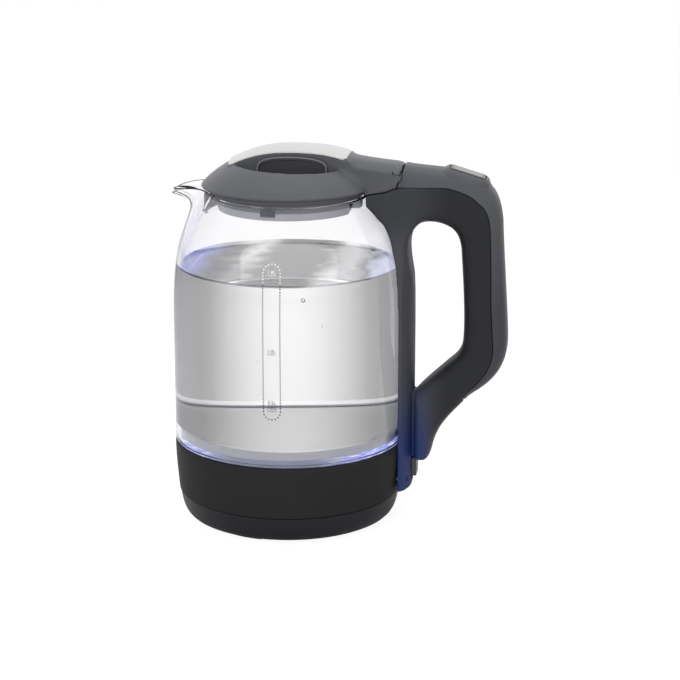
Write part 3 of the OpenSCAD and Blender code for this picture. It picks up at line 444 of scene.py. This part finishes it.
# Lit acrylic: the ring's own lamp glow, with painted shade that dims it in front, so that it is bright and
# blue towards both sides
ledGuide = glowingGuide("frosted acrylic light ring", {
    "colour": "#767B90", "strength": 1.05, "streakMm": (9, 9, 0.9), "paintedFrontShadeMm": (22, 64), "paintedFrontShade": "#2C2D2E",
    "glow": [(0.34, "#2C38A8"), (0.46, "#6C78DC"), (0.55, "#A8B0F0"), (0.64, "#FFFFFF")]})
ledLens = glowingGuide("lit lamp", {
    "colour": "#D8DCFF", "strength": 4.0, "streakMm": (3, 3, 3), "paintedFrontShadeMm": (0, 1), "paintedFrontShade": "#FFFFFF",
    "glow": [(0.3, "#C8D0FF"), (0.7, "#FFFFFF")]})
# Glass and water: no colour of their own; the grey and lilac edges are painted shade, the lilac partly the
# glass's own tint seen through its wall
glassClear = clearMaterial("clear borosilicate glass", {
    "ior": 1.47, "passing": "#F4F4F8",
    "tint": [(0.0, "#FFFFFF"), (0.55, "#FCFCFF"), (0.8, "#E4E4F6"), (1.0, "#A0A0B8")]})
glassWet = clearMaterial("glass wall behind water", {
    "ior": 1.103, "passing": "#F4F4F8",
    # painted shade: the wall behind the water turns grey towards its edges
    "tint": [(0.0, "#FAFAFA"), (0.023, "#EDEDED"), (0.09, "#CBCBCB"), (0.17, "#A4A4A4"), (0.26, "#A6A6A7")]})
waterTop = clearMaterial("still water", {
    "ior": 1.333, "passing": "#F4F4F8",
    "tint": [(0.0, "#FFFFFF"), (0.6, "#F0F0F2"), (1.0, "#DCDCE0")], "acrossMm": 74,
    # painted reflections of lamp light and steel, from left to right across the water top
    "glow": [(0.0, "#5058A4"), (0.1, "#434B98"), (0.19, "#0C0C14"), (0.25, "#4A4A4A"), (0.31, "#808080"),
             (0.37, "#383838"), (0.44, "#000000"), (0.62, "#000000"), (0.7, "#909090"), (0.78, "#A0A0A0"),
             (0.84, "#4A4A50"), (0.9, "#B8BCD4"), (1.0, "#B8BCD8")],
    # painted shade across the middle of the water top
    "across": [(0.0, "#F0F0F4"), (0.2, "#E4E4E4"), (0.3, "#F0F0F0"), (0.4, "#7E7E80"), (0.64, "#7E7E80"),
               (0.72, "#F0F0F0"), (1.0, "#F0F0F4")]})
bubbleAir = clearMaterial("air bubble in water", {  # air seen from inside the water
    "ior": 0.75, "passing": "#FFFFFF", "tint": [(0.0, "#FFFFFF"), (1.0, "#E8E8E8")]})


def seeThrough(name):
    # The side of the water lies on the glass, where the glass already bends the light
    material, tree = newMaterial(name)
    clear = addNode(tree, "ShaderNodeBsdfTransparent")
    addNode(tree, "ShaderNodeOutputMaterial", {}, {"Surface": clear.outputs[0]})
    return material


waterSide = seeThrough("water against glass")
print("materials made")


# Which finish each piece of the CAD model has
finishes = {
    "jug_seal": sealSilicone, "heating_plate": plateSteel, "heat_spreader": castAluminium,
    "heating_element": plateSteel, "element_terminals": contactBrass, "clamp_ring": plateSteel,
    "light_ring": ledGuide, "led_board": circuitBoard, "leds": ledLens, "led_wires": wireSleeve,
    "control_unit": innerPlastic, "bimetal_discs": contactBrass, "power_socket": innerPlastic,
    "socket_contacts": contactBrass, "base_shroud": shroudPlastic, "bottom_cover": basePlastic,
    "feet": footRubber, "cover_screws": screwSteel, "steam_tube": siliconeRubber,
    "spine_screws": screwSteel, "grip_screws": darkSteel, "button_spring": screwSteel,
    "spout_filter_frame": filterPlastic, "spout_filter_mesh": filterMesh, "switch_bracket": innerPlastic,
    "switch_pin": screwSteel, "lid_trim": trimMetal, "lid_grip_pads": padPlastic,
    "lid_flange": lidPlastic, "lid_gasket": siliconeRubber, "lid_plug": plugPlastic,
    "lid_baffle": bafflePlastic, "lid_clips": darkClip, "lid_catch": clipPlastic,
    "latch_slider": clipPlastic, "switch_lever": switchPlastic,
}


def finishNode(name, material, sharpDeg=28):
    mesh = nodes[name].data
    mesh.materials.clear()
    mesh.materials.append(material)
    for face in mesh.polygons:
        face.material_index = 0
    mesh.shade_smooth()
    mesh.set_sharp_from_angle(angle=radians(sharpDeg))


for nodeName, nodeMaterial in finishes.items():
    finishNode(nodeName, nodeMaterial)


# The jug and the water in it, in millimetres and degrees
jug = {"radius": 74, "wall": 2.8, "foot": 51.7, "rim": 213.2, "rimRadius": 50.5, "shoulder": 117.5,
       "neckInset": 9.7, "neckDrop": 17.9, "shoulderDrop": 65, "bulgeDrop": 38.5, "bulge": 0.2,
       "spoutReach": 74.9, "spoutHalfDeg": 26, "spoutDrop": -3.4, "spoutRise": (1.6, 6.4),
       "neckPull": (-6.4, 5), "throatPull": (-2.8, 9.2), "rimPull": (2.8, -3.7), "spoutPull": (-13.9, -4.3)}
water = {"level": 168.6, "floor": 61.3, "meniscus": 2.0, "creep": 4.0}
bubbles = [(19, -66, 159, 1.4), (30, -62, 142, 0.5), (66, -22, 143, 0.7), (-53, -42, 164, 0.8),
           (-8, -68, 120, 0.4)]  # place and radius


def spoutShare(angleDeg):
    # How much of the spout is in the rim at this angle round the jug, and how far it lifts the rim
    off = min(abs(angleDeg - 180) / jug["spoutHalfDeg"], 1)
    near, far = jug["spoutRise"]
    lift = jug["spoutDrop"] * (1 - off) ** 3 + 3 * off * (1 - off) ** 2 * near \
        + 3 * off * off * (1 - off) * far
    return (1 + cos(pi * off)) / 2, lift


def glassOutline(angleDeg):
    j = jug
    share, lift = spoutShare(angleDeg)
    r, z = j["radius"] - j["neckInset"], j["rim"] - j["neckDrop"]
    shoulder = bezier([(j["radius"], j["shoulder"]), (j["radius"], j["rim"] - j["shoulderDrop"]),
                       (j["radius"] + j["bulge"], j["rim"] - j["bulgeDrop"]), (r, z)], 28)
    top = (mix(j["rimRadius"], j["spoutReach"], share), j["rim"] + lift)
    pullA = [mix(a, b, share) for a, b in zip(j["neckPull"], j["throatPull"])]
    pullB = [mix(a, b, share) for a, b in zip(j["rimPull"], j["spoutPull"])]
    neck = bezier([(r, z), (r + pullA[0], z + pullA[1]),
                   (top[0] + pullB[0], top[1] + pullB[1]), top], 22, 1)
    foot = [(j["radius"], mix(j["foot"] + 1.4, j["shoulder"], t / 6)) for t in range(6)]
    line = foot + shoulder + neck
    bend = len(foot) + len(shoulder) - 1
    for _ in range(14):  # the shoulder runs into the neck in a soft bend
        for i in range(bend - 5, bend + 6):
            line[i] = tuple((line[i - 1][c] + 2 * line[i][c] + line[i + 1][c]) / 4 for c in (0, 1))
    return line


def roundEnd(a, b, steps):
    # Half circle from the point a to the point b, bulging to the left of a to b
    middle = ((a[0] + b[0]) / 2, (a[1] + b[1]) / 2)
    arm = ((a[0] - b[0]) / 2, (a[1] - b[1]) / 2)
    turns = [pi * k / steps for k in range(1, steps)]
    return [(middle[0] + arm[0] * cos(t) + arm[1] * sin(t),
             middle[1] + arm[1] * cos(t) - arm[0] * sin(t)) for t in turns]


def glassSection(angleDeg):
    outer = glassOutline(angleDeg)
    inner = inset(outer, jug["wall"])[::-1]
    return outer + roundEnd(outer[-1], inner[0], 8) + inner + roundEnd(inner[-1], outer[0], 6)


def glassAngles():
    # Every 2 degrees round the jug, and every degree round the spout
    plain = [210 + 300 * k / 150 for k in range(150)]
    spout = [150 + 60 * k / 60 for k in range(60)]
    return sorted(a % 360 for a in plain + spout)


def makeGlass():
    rings = []
    for a in glassAngles():
        rings.append([(r * cos(radians(a)), r * sin(radians(a)), z) for r, z in glassSection(a)])
    points, faces = loft(rings, closedRound=True)
    glass = addPiece("jugGlass", points, faces, "kettle", [glassClear, glassWet], 60)
    for face in glass.data.polygons:
        x, y, z = [c / mm for c in face.center]
        onInside = hypot(x, y) < radiusAt(innerWall, z) + 0.6
        if onInside and water["floor"] < z < waterLevel():
            face.material_index = 1
    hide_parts("glass_jug")


outerWall = glassOutline(0)
innerWall = inset(outerWall, jug["wall"])


def radiusAt(wall, z):
    for a, b in zip(wall, wall[1:]):
        if a[1] <= z <= b[1]:
            return mix(a[0], b[0], (z - a[1]) / (b[1] - a[1]))
    return wall[0][0]


def waterLevel():
    # The level is moved to the nearest ring of the glass, so that both end at one line
    return min((p[1] for p in innerWall), key=lambda z: abs(z - water["level"]))


def makeWater():
    level = waterLevel()
    skin = 0.03  # air left between the water and the glass
    rimR = radiusAt(innerWall, level) - skin
    top = []
    for k in range(13):
        off = water["creep"] * (k / 12) ** 1.5
        top.append((rimR - off, level - water["meniscus"] * (1 - (1 - off / water["creep"]) ** 3)))
    flat = top[-1][1]
    top += [(r, flat) for r in (55, 35, 15, 0.01)]
    heights = [mix(water["floor"], level, k / 24) for k in range(25)]
    side = [(radiusAt(innerWall, z) - skin, z) for z in heights]
    section = [(0.01, water["floor"])] + side + top[1:]
    points, faces = lathe(section, 180)
    body = addPiece("jugWater", points, faces, "kettle", [waterTop, waterSide], 60)
    for face in body.data.polygons:
        onTop = face.center.z / mm > flat - 0.01 and face.normal.z > 0.05
        face.material_index = 0 if onTop else 1


def makeBubbles():
    shape = bmesh.new()
    for x, y, z, r in bubbles:
        bmesh.ops.create_uvsphere(shape, u_segments=20, v_segments=12, radius=r * mm,
                                  matrix=Matrix.Translation(Vector((x, y, z)) * mm))
    mesh = bpy.data.meshes.new("waterBubbles")
    shape.to_mesh(mesh)
    shape.free()
    piece = addObject("waterBubbles", mesh)
    mesh.materials.append(bubbleAir)
    mesh.shade_smooth()
    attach(piece, "kettle")


makeGlass()
makeWater()
makeBubbles()
print("glass and water made")


# The scale printed on the outside of the glass
gauge = {"angleDeg": -89.5, "halfWidth": 5.3, "top": 181.6, "low": 84.2, "pitch": 1.9, "dot": 0.52,
         "raise": 0.05, "markWidth": 5.2, "line": 0.32, "textSize": 3.1,
         "marks": [("1.8L", 174.9), ("1.0L", 125.9), ("0.5L", 93.2), ("MIN", 89.6)]}


def onGlass(across, z, lift):
    # Point on the outside of the jug: across is measured round the wall from the middle of the scale
    r = radiusAt(outerWall, z) + lift
    a = radians(gauge["angleDeg"]) + across / r
    return (r * cos(a), r * sin(a), z)


def gaugeDots():
    # A long loop of dots round the marks
    g = gauge
    w = g["halfWidth"]
    straightTop, straightLow = g["top"] - w, g["low"] + w
    count = int((straightTop - straightLow) / g["pitch"])
    places = []
    for k in range(count + 1):
        z = mix(straightLow, straightTop, k / count)
        places += [(-w, z), (w, z)]
    turns = int(pi * w / g["pitch"])
    for k in range(1, turns):
        a = pi * k / turns
        places += [(w * cos(a), straightTop + w * sin(a)), (w * cos(a), straightLow - w * sin(a))]
    return places


def makeDots(name, places, material):
    points, faces = [], []
    dot, sides = gauge["dot"], 10
    for across, z in places:
        start = len(points)
        for lift in (0.0, gauge["raise"]):
            for k in range(sides):
                a = 2 * pi * k / sides
                points.append(onGlass(across + dot * cos(a), z + dot * sin(a), lift + 0.01))
        faces.append(tuple(start + sides + k for k in range(sides)))
        faces.append(tuple(start + sides - 1 - k for k in range(sides)))
        for k in range(sides):
            n = (k + 1) % sides
            faces.append((start + k, start + n, start + sides + n, start + sides + k))
    dots = addPiece(name, points, faces, "kettle", [material], 60)


def makeMark(text, z, material):
    # The letters and the line under them, bent round the wall
    g = gauge
    curve = bpy.data.curves.new("gauge" + text.replace(".", "-"), "FONT")
    curve.body = text
    curve.size = g["textSize"]
    curve.align_x = "CENTER"
    curve.extrude = g["raise"] / 2
    letters = addObject(curve.name, curve)
    bpy.context.view_layer.update()
    shape = letters.evaluated_get(bpy.context.evaluated_depsgraph_get()).to_mesh()
    lineGap = 0.9
    points = [onGlass(v.co.x, z + lineGap + v.co.y, v.co.z + g["raise"] / 2 + 0.01)
              for v in shape.vertices]
    faces = [tuple(f.vertices) for f in shape.polygons]
    letters.to_mesh_clear()
    bpy.data.objects.remove(letters)
    steps, half = 6, g["markWidth"] / 2
    start = len(points)
    for lift in (0.01, g["raise"] + 0.01):
        for k in range(steps + 1):
            for side in (-1, 1):
                points.append(onGlass(mix(-half, half, k / steps), z + side * g["line"] / 2, lift))
    ring = 2 * (steps + 1)
    for k in range(steps):
        a = start + 2 * k
        faces.append((a + ring, a + ring + 2, a + ring + 3, a + ring + 1))
        faces.append((a, a + 1, a + 3, a + 2))
        faces.append((a, a + 2, a + 2 + ring, a + ring))
        faces.append((a + 1, a + 1 + ring, a + 3 + ring, a + 3))
    faces.append((start, start + ring, start + ring + 1, start + 1))
    last = start + 2 * steps
    faces.append((last, last + 1, last + 1 + ring, last + ring))
    mark = addPiece("gaugeMark" + text.replace(".", "-"), points, faces, "kettle", [material], 40)


dotPlaces = gaugeDots()
# Below the water the pale print is drawn in painted shade, dark grey
makeDots("gaugeDotsLow", [p for p in dotPlaces if p[1] <= water["level"] + 1.5], printPaintedShade)
makeDots("gaugeDotsHigh", [p for p in dotPlaces if p[1] > water["level"] + 1.5], printPale)
for markText, markZ in gauge["marks"]:
    makeMark(markText, markZ, printPale if markZ > water["level"] else printPaintedShade)
print("scale printed")


# The loop of the handle as it is seen from the side
handle = {"rim": 213.2, "reach": 141.0, "halfWidth": 14.0, "low": 41.5, "elbow": 122.9, "backLow": 82.2,
          "topEnd": 233.4, "hinge": (70.6, 230.4), "barrel": 3.0, "partGap": 0.6, "partSlopeDeg": 19.2,
          "armX": 84.0, "gap": 0.15, "sectionPower": 0.62, "fine": 4, "across": 40, "voxelMm": 0.7,
          "clipX": 50}
# How thick the cover lies on the grip, from the lid round to the lower end of the loop
coverThickness = [14, 13.2, 12.4, 11.8, 11.4, 11.6, 12.4, 12.8, 12.2, 11, 10.4, 9.8, 9.4, 9.2, 9.2,
                  9.2, 9.1, 9.1, 9, 8.8, 7.8, 6.8, 5.6, 4.4, 3.4, 2.6]


def partPoint(out, along):
    # A point by the slanting seam between the lid's arm and the handle
    a = radians(handle["partSlopeDeg"])
    x, z = handle["hinge"]
    return (x + out * cos(a) + along * sin(a), z - out * sin(a) + along * cos(a))


def handleLines():
    # The outer and the inner edge of the loop, point for point opposite each other
    h = handle
    rim, top, reach, elbow = h["rim"], h["topEnd"], h["reach"], h["elbow"]
    low, back, arm, fine = h["low"], h["backLow"], h["armX"], h["fine"]
    front = partPoint(h["barrel"] + h["partGap"], 4)
    slope = radians(h["partSlopeDeg"])
    frontLow = (front[0] - 42 * sin(slope), front[1] - 42 * cos(slope))
    outer = bezier([front, (front[0] + 7, front[1] - 1.2), (arm + 11, top - 2.4), (arm + 16, top - 3)],
                   4 * fine)
    for curve, steps in [
            ([(arm + 16, top - 3), (arm + 26, top - 2.8), (arm + 40, top - 4.4),
              (arm + 45.6, rim + 5.2)], 5),
            ([(arm + 45.6, rim + 5.2), (arm + 47.6, rim + 3.2), (reach - 6.1, rim - 1.6),
              (reach - 4.5, rim - 15.1)], 5),
            ([(reach - 4.5, rim - 15.1), (reach - 3.9, rim - 33), (reach, elbow + 10), (reach, elbow)], 5),
            ([(reach, elbow), (reach + 1.1, elbow - 29), (arm + 34, elbow - 35.6),
              (arm + 31.5, elbow - 41)], 6),
            ([(arm + 31.5, elbow - 41), (arm + 20, elbow - 53), (arm + 13, elbow - 60),
              (arm + 9.8, low + 7)], 5),
            ([(arm + 9.8, low + 7), (arm + 9.3, low + 5), (arm + 8.8, low + 2), (arm + 6.8, low)], 3)]:
        outer += bezier(curve, steps * fine, 1)
    inner = bezier([frontLow, (arm - 14, rim - 21), (arm - 7, rim - 20.5), (arm, rim - 17.9)], 4 * fine)
    for curve, steps in [
            ([(arm, rim - 17.9), (arm + 4, rim - 15.4), (arm + 13, rim - 16.2), (arm + 19, rim - 19.3)], 5),
            ([(arm + 19, rim - 19.3), (arm + 25, rim - 22.5), (arm + 26.6, rim - 29),
              (arm + 27, rim - 37.6)], 5),
            ([(arm + 27, rim - 37.6), (arm + 28.5, rim - 59), (arm + 29.6, elbow + 13),
              (arm + 28.8, elbow - 0.8)], 5),
            ([(arm + 28.8, elbow - 0.8), (arm + 28.2, elbow - 12), (arm + 22, elbow - 14.5),
              (arm + 16.5, elbow - 20)], 6),
            ([(arm + 16.5, elbow - 20), (arm + 10, elbow - 26), (arm + 4, elbow - 31),
              (back, elbow - 38)], 5),
            ([(back, elbow - 38), (back, low + 25), (back, low + 8), (back, low)], 3)]:
        inner += bezier(curve, steps * fine, 1)
    return outer, inner


def signedPower(v, power):
    return abs(v) ** power * (1 if v >= 0 else -1)


outerLine, innerLine = handleLines()
coverEnd = (len(coverThickness) - 1) * handle["fine"]


def thicknessAt(i):
    k, t = divmod(i / handle["fine"], 1)
    k = int(k)
    return mix(coverThickness[k], coverThickness[min(k + 1, len(coverThickness) - 1)], t)


def sectionRing(i, fromAngle, toAngle):
    # Part of the loop's rounded section at point i, from one angle to the other
    o, n, h = outerLine[i], innerLine[i], handle
    half = hypot(o[0] - n[0], o[1] - n[1]) / 2
    ux, uz = (o[0] - n[0]) / (2 * half), (o[1] - n[1]) / (2 * half)
    ring = []
    for k in range(h["across"] + 1):
        a = mix(fromAngle, toAngle, k / h["across"])
        out = half * signedPower(cos(a), h["sectionPower"])
        ring.append(((o[0] + n[0]) / 2 + ux * out, h["halfWidth"] * signedPower(sin(a), h["sectionPower"]),
                     (o[1] + n[1]) / 2 + uz * out))
    return ring


def splitAngle(i, gap):
    # Where the seam between cover and grip cuts the section
    o, n = outerLine[i], innerLine[i]
    half = hypot(o[0] - n[0], o[1] - n[1]) / 2
    share = (half - thicknessAt(i) - gap) / half
    return acos(signedPower(share, 1 / handle["sectionPower"]))


def makeCover():
    rings = []
    for i in range(coverEnd + 1):
        a = splitAngle(i, 0)
        rings.append(sectionRing(i, -a, a))
    points, faces = loft(rings)
    cover = addPiece("handleCover", points, faces, "kettle", [coverPlastic], 50)
    cutWell(cover)
    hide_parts("handle_cover")


def makeGrip():
    rings = []
    for i in range(len(outerLine)):
        a = splitAngle(i, handle["gap"]) if i <= coverEnd else pi / (handle["across"] + 1)
        rings.append(sectionRing(i, a, 2 * pi - a))
    points, faces = loft(rings)
    grip = addPiece("gripShape", points, faces, "kettle", [gripPlastic], 50)
    spine = nodes["handle_spine"]
    look = {"voxelMm": handle["voxelMm"], "even": 3, "soft": [(140, nearArm), (120, nearNeck)]}
    body = fuse("handleBody", [(grip.data, Matrix()), (spine.data, spine.matrix_world)],
                look, "kettle", gripPlastic)
    bpy.data.objects.remove(grip)
    body.data.materials.append(clipPlastic)
    for face in body.data.polygons:  # the claw that hooks over the glass rim
        if face.center.x < handle["clipX"] * mm:
            face.material_index = 1
    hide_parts("handle_grip", "handle_spine")


def nearArm(x, y, z):
    # The root of the arm, where the upright and the loop run into each other
    return ease(66, 76, x) * (1 - ease(92, 104, x)) * ease(160, 176, z) * (1 - ease(211, 217, z))


def nearNeck(x, y, z):
    # The long edge that runs down along the shoulder of the glass
    return (1 - ease(70, 77, x)) * ease(52, 56, x) * ease(178, 186, z) * (1 - ease(204, 211, z))


button = {"x": 114.0, "z": 228.3, "slopeDeg": 16.5, "length": 23.0, "width": 15.0, "deep": 7.0,
          "corner": 3.0, "silver": (8.2, 5.6), "stem": (2.5, 3), "stemLow": -13,
          "surround": [(4.4, -5.2), (4.1, -3.6), (3.3, -2.1), (2.2, -0.9), (1.2, -0.2), (0.7, -0.1),
                       (0.45, -0.3), (0.4, -1), (0.4, -6)],
          "top": [(0.0, -2.6), (0.0, -0.6), (-0.25, -0.15), (-0.8, 0.08), (-2.2, 0.3), (-4.5, 0.4)]}


def buttonTurn():
    place = Vector((button["x"], 0, button["z"])) * mm
    return Matrix.Translation(place) @ Matrix.Rotation(radians(button["slopeDeg"]), 4, "Y")


def cutWell(cover):
    # The well that takes the button's bezel
    b = button
    room, above = 2.2, 10
    well = bmesh.new()
    size = ((b["length"] + room) * mm, (b["width"] + room) * mm, (b["deep"] + above) * mm)
    middle = Matrix.Translation((0, 0, (above - b["deep"]) / 2 * mm))
    bmesh.ops.create_cube(well, size=1, matrix=buttonTurn() @ middle @ Matrix.Diagonal((*size, 1)))
    mesh = bpy.data.meshes.new("wellCutter")
    well.to_mesh(mesh)
    well.free()
    cutter = addObject("wellCutter", mesh)
    cut = cover.modifiers.new("well", "BOOLEAN")
    cut.object = cutter
    cut.solver = "EXACT"
    bake(cover)
    bpy.data.objects.remove(cutter)
    cover.data.shade_smooth()
    cover.data.set_sharp_from_angle(angle=radians(50))


def roundedPlan(offset, corner, steps=8):
    # Outline of the button's top grown by the offset, with round corners
    b = button
    halfL, halfW = b["length"] / 2 + offset, b["width"] / 2 + offset
    r = max(corner + offset, 0.3)
    plan = []
    for cx, cy, start in [(1, 1, 0), (-1, 1, 90), (-1, -1, 180), (1, -1, 270)]:
        for k in range(steps + 1):
            a = radians(start + 90 * k / steps)
            plan.append((cx * (halfL - r) + r * cos(a), cy * (halfW - r) + r * sin(a)))
    return plan


def inButtonFrame(plan, height):
    turn = buttonTurn()
    return [[c / mm for c in turn @ (Vector((x, y, height)) * mm)] for x, y in plan]


def makeButton():
    b = button
    rings = [inButtonFrame(roundedPlan(out, b["corner"] + 0.2), height) for out, height in b["surround"]]
    points, faces = loft(rings, closedRound=True)
    bezel = addPiece("buttonSurround", points, faces, "kettle", [coverPlastic, glossBlack], 50)
    count = len(rings[0])
    for face in bezel.data.polygons:
        if min(face.vertices) // count >= 4:  # the inner lip is polished
            face.material_index = 1
    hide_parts("button_bezel")
    rings = [inButtonFrame(roundedPlan(out, b["corner"]), height) for out, height in b["top"]]
    points, faces = loft(rings)
    start = len(points)
    sx, sy = b["stem"]
    stem = [(-sx, -sy), (sx, -sy), (sx, sy), (-sx, sy)]
    points += inButtonFrame(stem, -2.5) + inButtonFrame(stem, b["stemLow"])
    faces += [tuple(start + k for k in (0, 1, 2, 3)), tuple(start + k for k in (7, 6, 5, 4))]
    faces += [tuple(start + k for k in (i, i + 4, (i + 1) % 4 + 4, (i + 1) % 4)) for i in range(4)]
    cap = addPiece("thumbButton", points, faces, "button", [buttonMetal, glossBlack], 40)
    away = buttonTurn().inverted()
    for face in cap.data.polygons:  # a silver plate in a black frame
        spot = away @ face.center
        if abs(spot.x) > b["silver"][0] * mm or abs(spot.y) > b["silver"][1] * mm:
            face.material_index = 1
    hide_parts("release_button")


makeCover()
makeGrip()
makeButton()
print("handle made")


lidArm = {"rootX": 39, "rootZ": 237.8, "fall": 0.14, "halfWidth": 16.5, "crown": 4.8, "crownFrom": (37, 45),
          "voxelMm": 0.6, "knuckle": (2.4, 2.85), "knuckleHalf": 16.4, "knuckleCrown": 4.6}


def armTop(x):
    return lidArm["rootZ"] - (x - lidArm["rootX"]) * lidArm["fall"]


def armRoot(x, y, z):
    # The dome sweeps up into the arm on both sides
    side = ease(14.6, 15.2, abs(y)) * (1 - ease(armTop(x) - 3, armTop(x) - 1, z))
    return side * ease(36, 41, x) * (1 - ease(62, 68, x)) * ease(219, 220.5, z)


def makeLid():
    shell = nodes["lid_shell"]
    look = {"voxelMm": lidArm["voxelMm"], "even": 2, "soft": [(280, armRoot)], "sharpDeg": 50}
    lid = fuse("lidShell", [(shell.data, shell.matrix_world)], look, "lid", lidPlastic)
    for v in lid.data.vertices:  # the top of the arm is crowned like the handle's
        x, y, z = [c / mm for c in v.co]
        top = armTop(x)
        share = ease(*lidArm["crownFrom"], x) * ease(top - 12, top - 1, z)
        v.co.z -= lidArm["crown"] * mm * share * min(abs(y) / lidArm["halfWidth"], 1) ** 3
    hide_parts("lid_shell")


padRimHighlight = {"front": -16.4, "rear": 26.9, "low": 227, "top": 238, "topX": 5, "y": 18.6, "thick": 0.5}


def makePadRimHighlights():
    # The pads' raised rims in a paler grey than the pads: a painted highlight where they catch the light from
    # above
    front, rear, low, top = padRimHighlight["front"], padRimHighlight["rear"], padRimHighlight["low"], padRimHighlight["top"]
    crest, thick = (padRimHighlight["topX"], top), padRimHighlight["thick"]
    arch = [(front, low)] + bezier([(front, top - 6.7), (front, top - 1.7), (-8, top), crest], 12)
    arch += bezier([crest, (18, top), (rear, top - 1.7), (rear, top - 6.2)], 12, 1) + [(rear, low)]
    inner, outer = inset(arch, thick), inset(arch, -thick)
    for side, name in ((-1, "near"), (1, "far")):
        rings = []
        for (ax, az), (bx, bz) in zip(inner, outer):
            ring = []
            for k in range(8):
                a = 2 * pi * k / 8
                t = (1 + cos(a)) / 2
                ring.append((mix(ax, bx, t), side * (padRimHighlight["y"] + thick * sin(a)), mix(az, bz, t)))
            rings.append(ring)
        points, faces = loft(rings)
        # the pale filter grey is the painted highlight
        addPiece("padRimHighlight-" + name, points, faces, "lid", [filterPlastic], 60)


def makeKnuckle():
    # Thin skin round the barrel that turns on the hinge pin
    x, z = handle["hinge"]
    inside, outside = lidArm["knuckle"]
    rings = []
    for k in range(25):
        y = lidArm["knuckleHalf"] * (k / 12 - 1)
        low = lidArm["knuckleCrown"] * (abs(y) / lidArm["halfWidth"]) ** 3
        ring = []
        for r, turns in ((outside, range(-3, 14)), (inside, range(13, -4, -1))):
            for t in turns:
                a = pi * t / 12
                ring.append((x + r * cos(a), y, z + r * sin(a) - low * ease(0, 0.7, sin(a))))
        rings.append(ring)
    points, faces = loft(rings)
    addPiece("lidKnuckle", points, faces, "lid", [lidPlastic], 40)


hingePin = [(1.1, -11.3, 11.3), (1.6, 8.8, 11.2), (1.6, -11.2, -8.8)]  # radius and both ends


def makeHingePin():
    # Pin and coils, seen only where the lid is up
    x, z = handle["hinge"]
    points, faces = [], []
    for r, low, high in hingePin:
        rings = [[(x + r * cos(pi * t / 10), y, z + r * sin(pi * t / 10)) for t in range(20)]
                 for y in (low, high)]
        skin, sides = loft(rings)
        faces += [tuple(i + len(points) for i in f) for f in sides]
        points += skin
    pin = addPiece("hingePinAndCoils", points, faces, "kettle", [screwSteel], 40)
    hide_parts("hinge_pin", "hinge_springs")


makeLid()
makePadRimHighlights()
makeKnuckle()
makeHingePin()
print("lid made")


studio = {"floorHalf": 3.0, "paper": "#E4E4E4", "paperLift": 0.85, "paperWhite": 1.1, "soft": 0.55}


def makeStage():
    # Pale paper floor that stays white to the eye and keeps a soft shadow
    half = studio["floorHalf"]
    mesh = bpy.data.meshes.new("floor")
    corners = [(-half, -half, 0), (half, -half, 0), (half, half, 0), (-half, half, 0)]
    mesh.from_pydata(corners, [], [(0, 1, 2, 3)])
    floor = addObject("floor", mesh)
    material, tree = newMaterial("white paper")
    paper = addNode(tree, "ShaderNodeBsdfDiffuse", {"Color": toLinear(studio["paper"])})
    ray = addNode(tree, "ShaderNodeLightPath")
    seen = addNode(tree, "ShaderNodeMath", {"operation": "MAXIMUM"},
                   {0: ray.outputs["Is Camera Ray"], 1: ray.outputs["Is Transmission Ray"]})
    share = addNode(tree, "ShaderNodeMath", {"operation": "MULTIPLY", 1: studio["paperLift"]},
                    {0: seen.outputs[0]})
    white = addNode(tree, "ShaderNodeEmission",
                    {"Color": toLinear("#FFFFFF"), "Strength": studio["paperWhite"]})
    both = addNode(tree, "ShaderNodeMixShader", {},
                   {0: share.outputs[0], 1: paper.outputs[0], 2: white.outputs[0]})
    addNode(tree, "ShaderNodeOutputMaterial", {}, {"Surface": both.outputs[0]})
    mesh.materials.append(material)


def makeWorld():
    # White to the camera and in reflections, softer as light on the kettle
    world = bpy.data.worlds.new("studio")
    bpy.context.scene.world = world
    world.use_nodes = True
    tree = world.node_tree
    tree.nodes.clear()
    ray = addNode(tree, "ShaderNodeLightPath")
    clear = addNode(tree, "ShaderNodeMath", {"operation": "MAXIMUM"},
                    {0: ray.outputs["Is Camera Ray"], 1: ray.outputs["Is Transmission Ray"]})
    seen = addNode(tree, "ShaderNodeMath", {"operation": "MAXIMUM"},
                   {0: clear.outputs[0], 1: ray.outputs["Is Glossy Ray"]})
    soft = addNode(tree, "ShaderNodeBackground", {"Color": toLinear("#FFFFFF"), "Strength": studio["soft"]})
    white = addNode(tree, "ShaderNodeBackground", {"Color": toLinear("#FFFFFF"), "Strength": 1.0})
    both = addNode(tree, "ShaderNodeMixShader", {},
                   {0: seen.outputs[0], 1: soft.outputs[0], 2: white.outputs[0]})
    addNode(tree, "ShaderNodeOutputWorld", {}, {"Surface": both.outputs[0]})


lamps = {  # in metres
    "topSoftbox": {"place": (0.05, 0.12, 1.1), "aim": (0, 0, 0.12), "size": (0.9, 0.7), "watts": 7.5},
    "frontSoftbox": {"place": (-0.1, -1.3, 0.9), "aim": (0, 0, 0.15), "size": (0.25, 0.5), "watts": 11},
}


def makeLamp(name, s):
    data = bpy.data.lights.new(name, "AREA")
    data.shape = "RECTANGLE"
    data.size, data.size_y = s["size"]
    data.energy = s["watts"]
    lamp = addObject(name, data)
    lamp.visible_glossy = False  # no hard rectangle in the glass and the water
    lamp.visible_transmission = False
    place = Vector(s["place"])
    turn = (Vector(s["aim"]) - place).to_track_quat("-Z", "Y")
    lamp.matrix_world = Matrix.Translation(place) @ turn.to_matrix().to_4x4()


makeStage()
makeWorld()
for lampName, lampSet in lamps.items():
    makeLamp(lampName, lampSet)

scene = bpy.context.scene
scene.view_settings.view_transform = "Standard"
scene.cycles.max_bounces = 24
scene.cycles.transmission_bounces = 20
scene.cycles.transparent_max_bounces = 24
scene.cycles.caustics_reflective = False
scene.cycles.blur_glossy = 0.3
print("stage and lamps set")
